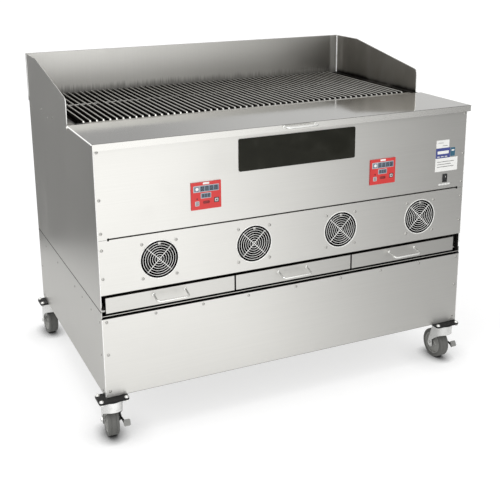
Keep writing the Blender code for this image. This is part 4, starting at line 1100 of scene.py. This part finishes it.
def softbox():
    """A large square light above the front left, aimed at the body."""
    place, target = Vector((-0.8, -0.6, 3.2)), Vector((0.0, 0.0, 0.4))
    light = bpy.data.lights.new("top_soft", "AREA")
    light.size = 1.6
    light.energy = 28.0
    lamp = bpy.data.objects.new("top_soft", light)
    lamp.location = place
    lamp.rotation_euler = (target - place).to_track_quat("-Z", "Y").to_euler()
    bpy.context.scene.collection.objects.link(lamp)


def world():
    """A white sweep to the eye; to the metal, softboxes and flags that differ by direction."""
    made = bpy.data.worlds.new("studio")
    made.use_nodes = True
    bpy.context.scene.world = made
    tree = made.node_tree

    def node(kind, inputs=(), **settings):
        return add_node(tree, kind, inputs, **settings)

    def calc(operation, a, b):
        return node("ShaderNodeMath", {0: a, 1: b}, operation=operation).outputs[0]

    def levels(stops_wanted):
        ramp = node("ShaderNodeValToRGB", {0: turn})
        ramp.color_ramp.interpolation = "EASE"
        stops = ramp.color_ramp.elements
        while len(stops) > 1:
            stops.remove(stops[0])
        for k, (degrees, level) in enumerate(stops_wanted):
            stop = stops[0] if k == 0 else stops.new((degrees + 180) / 360)
            stop.position = (degrees + 180) / 360
            stop.color = (*[level / BRIGHTEST] * 3, 1.0)
        return ramp.outputs["Color"]

    def blend(factor, a, b):
        return node("ShaderNodeMix", {0: factor, 2: a, 3: b}).outputs[0]

    def rise(low, high):
        return node("ShaderNodeMapRange", {0: split.outputs["Z"], 1: low, 2: high},
                    interpolation_type="SMOOTHSTEP").outputs[0]

    split = node("ShaderNodeSeparateXYZ", {0: node("ShaderNodeTexCoord").outputs["Generated"]})
    bearing = calc("ARCTAN2", split.outputs["X"], calc("MULTIPLY", split.outputs["Y"], -1.0))
    turn = node("ShaderNodeMapRange", {0: bearing, 1: -math.pi, 2: math.pi}).outputs[0]
    level = blend(rise(*HORIZON), levels(AROUND_LOW), levels(AROUND_HIGH))
    level = blend(rise(*ROOF), calc("MULTIPLY", level, BRIGHTEST), OVERHEAD)
    level = blend(node("ShaderNodeLightPath").outputs["Is Camera Ray"], level, SKY_SEEN)
    back = tree.nodes["Background"]
    connect(tree, back.inputs["Color"], (1.0, 1.0, 1.0, 1.0))
    connect(tree, back.inputs["Strength"], level)


def camera():
    """The three-quarter view from the front left, level with the cook's eye."""
    yaw, pitch, roll = (math.radians(a) for a in (24.871, 15.205, -0.398))
    eye = at(-1.2242, -2.2923, 1.3134)
    level = math.cos(pitch)
    ahead = Vector((math.sin(yaw) * level, math.cos(yaw) * level, -math.sin(pitch)))
    right = Vector((math.cos(yaw), -math.sin(yaw), 0.0))
    up = right.cross(ahead)
    across = right * math.cos(roll) + up * math.sin(roll)
    upright = up * math.cos(roll) - right * math.sin(roll)
    lens = bpy.data.cameras.new("camera")
    lens.sensor_width = 36.0
    lens.lens = 63.14
    lens.shift_y = -0.15
    lens.clip_end = 60.0
    view = bpy.data.objects.new("camera", lens)
    turned = Matrix((across, upright, -ahead)).transposed().to_4x4()
    view.matrix_world = Matrix.Translation(eye) @ turned
    bpy.context.scene.collection.objects.link(view)
    bpy.context.scene.camera = view


floor()
world()
softbox()
camera()
bpy.context.scene.view_settings.view_transform = "Standard"


def corners(box):
    return [[float(v) for v in corner] for corner in box]
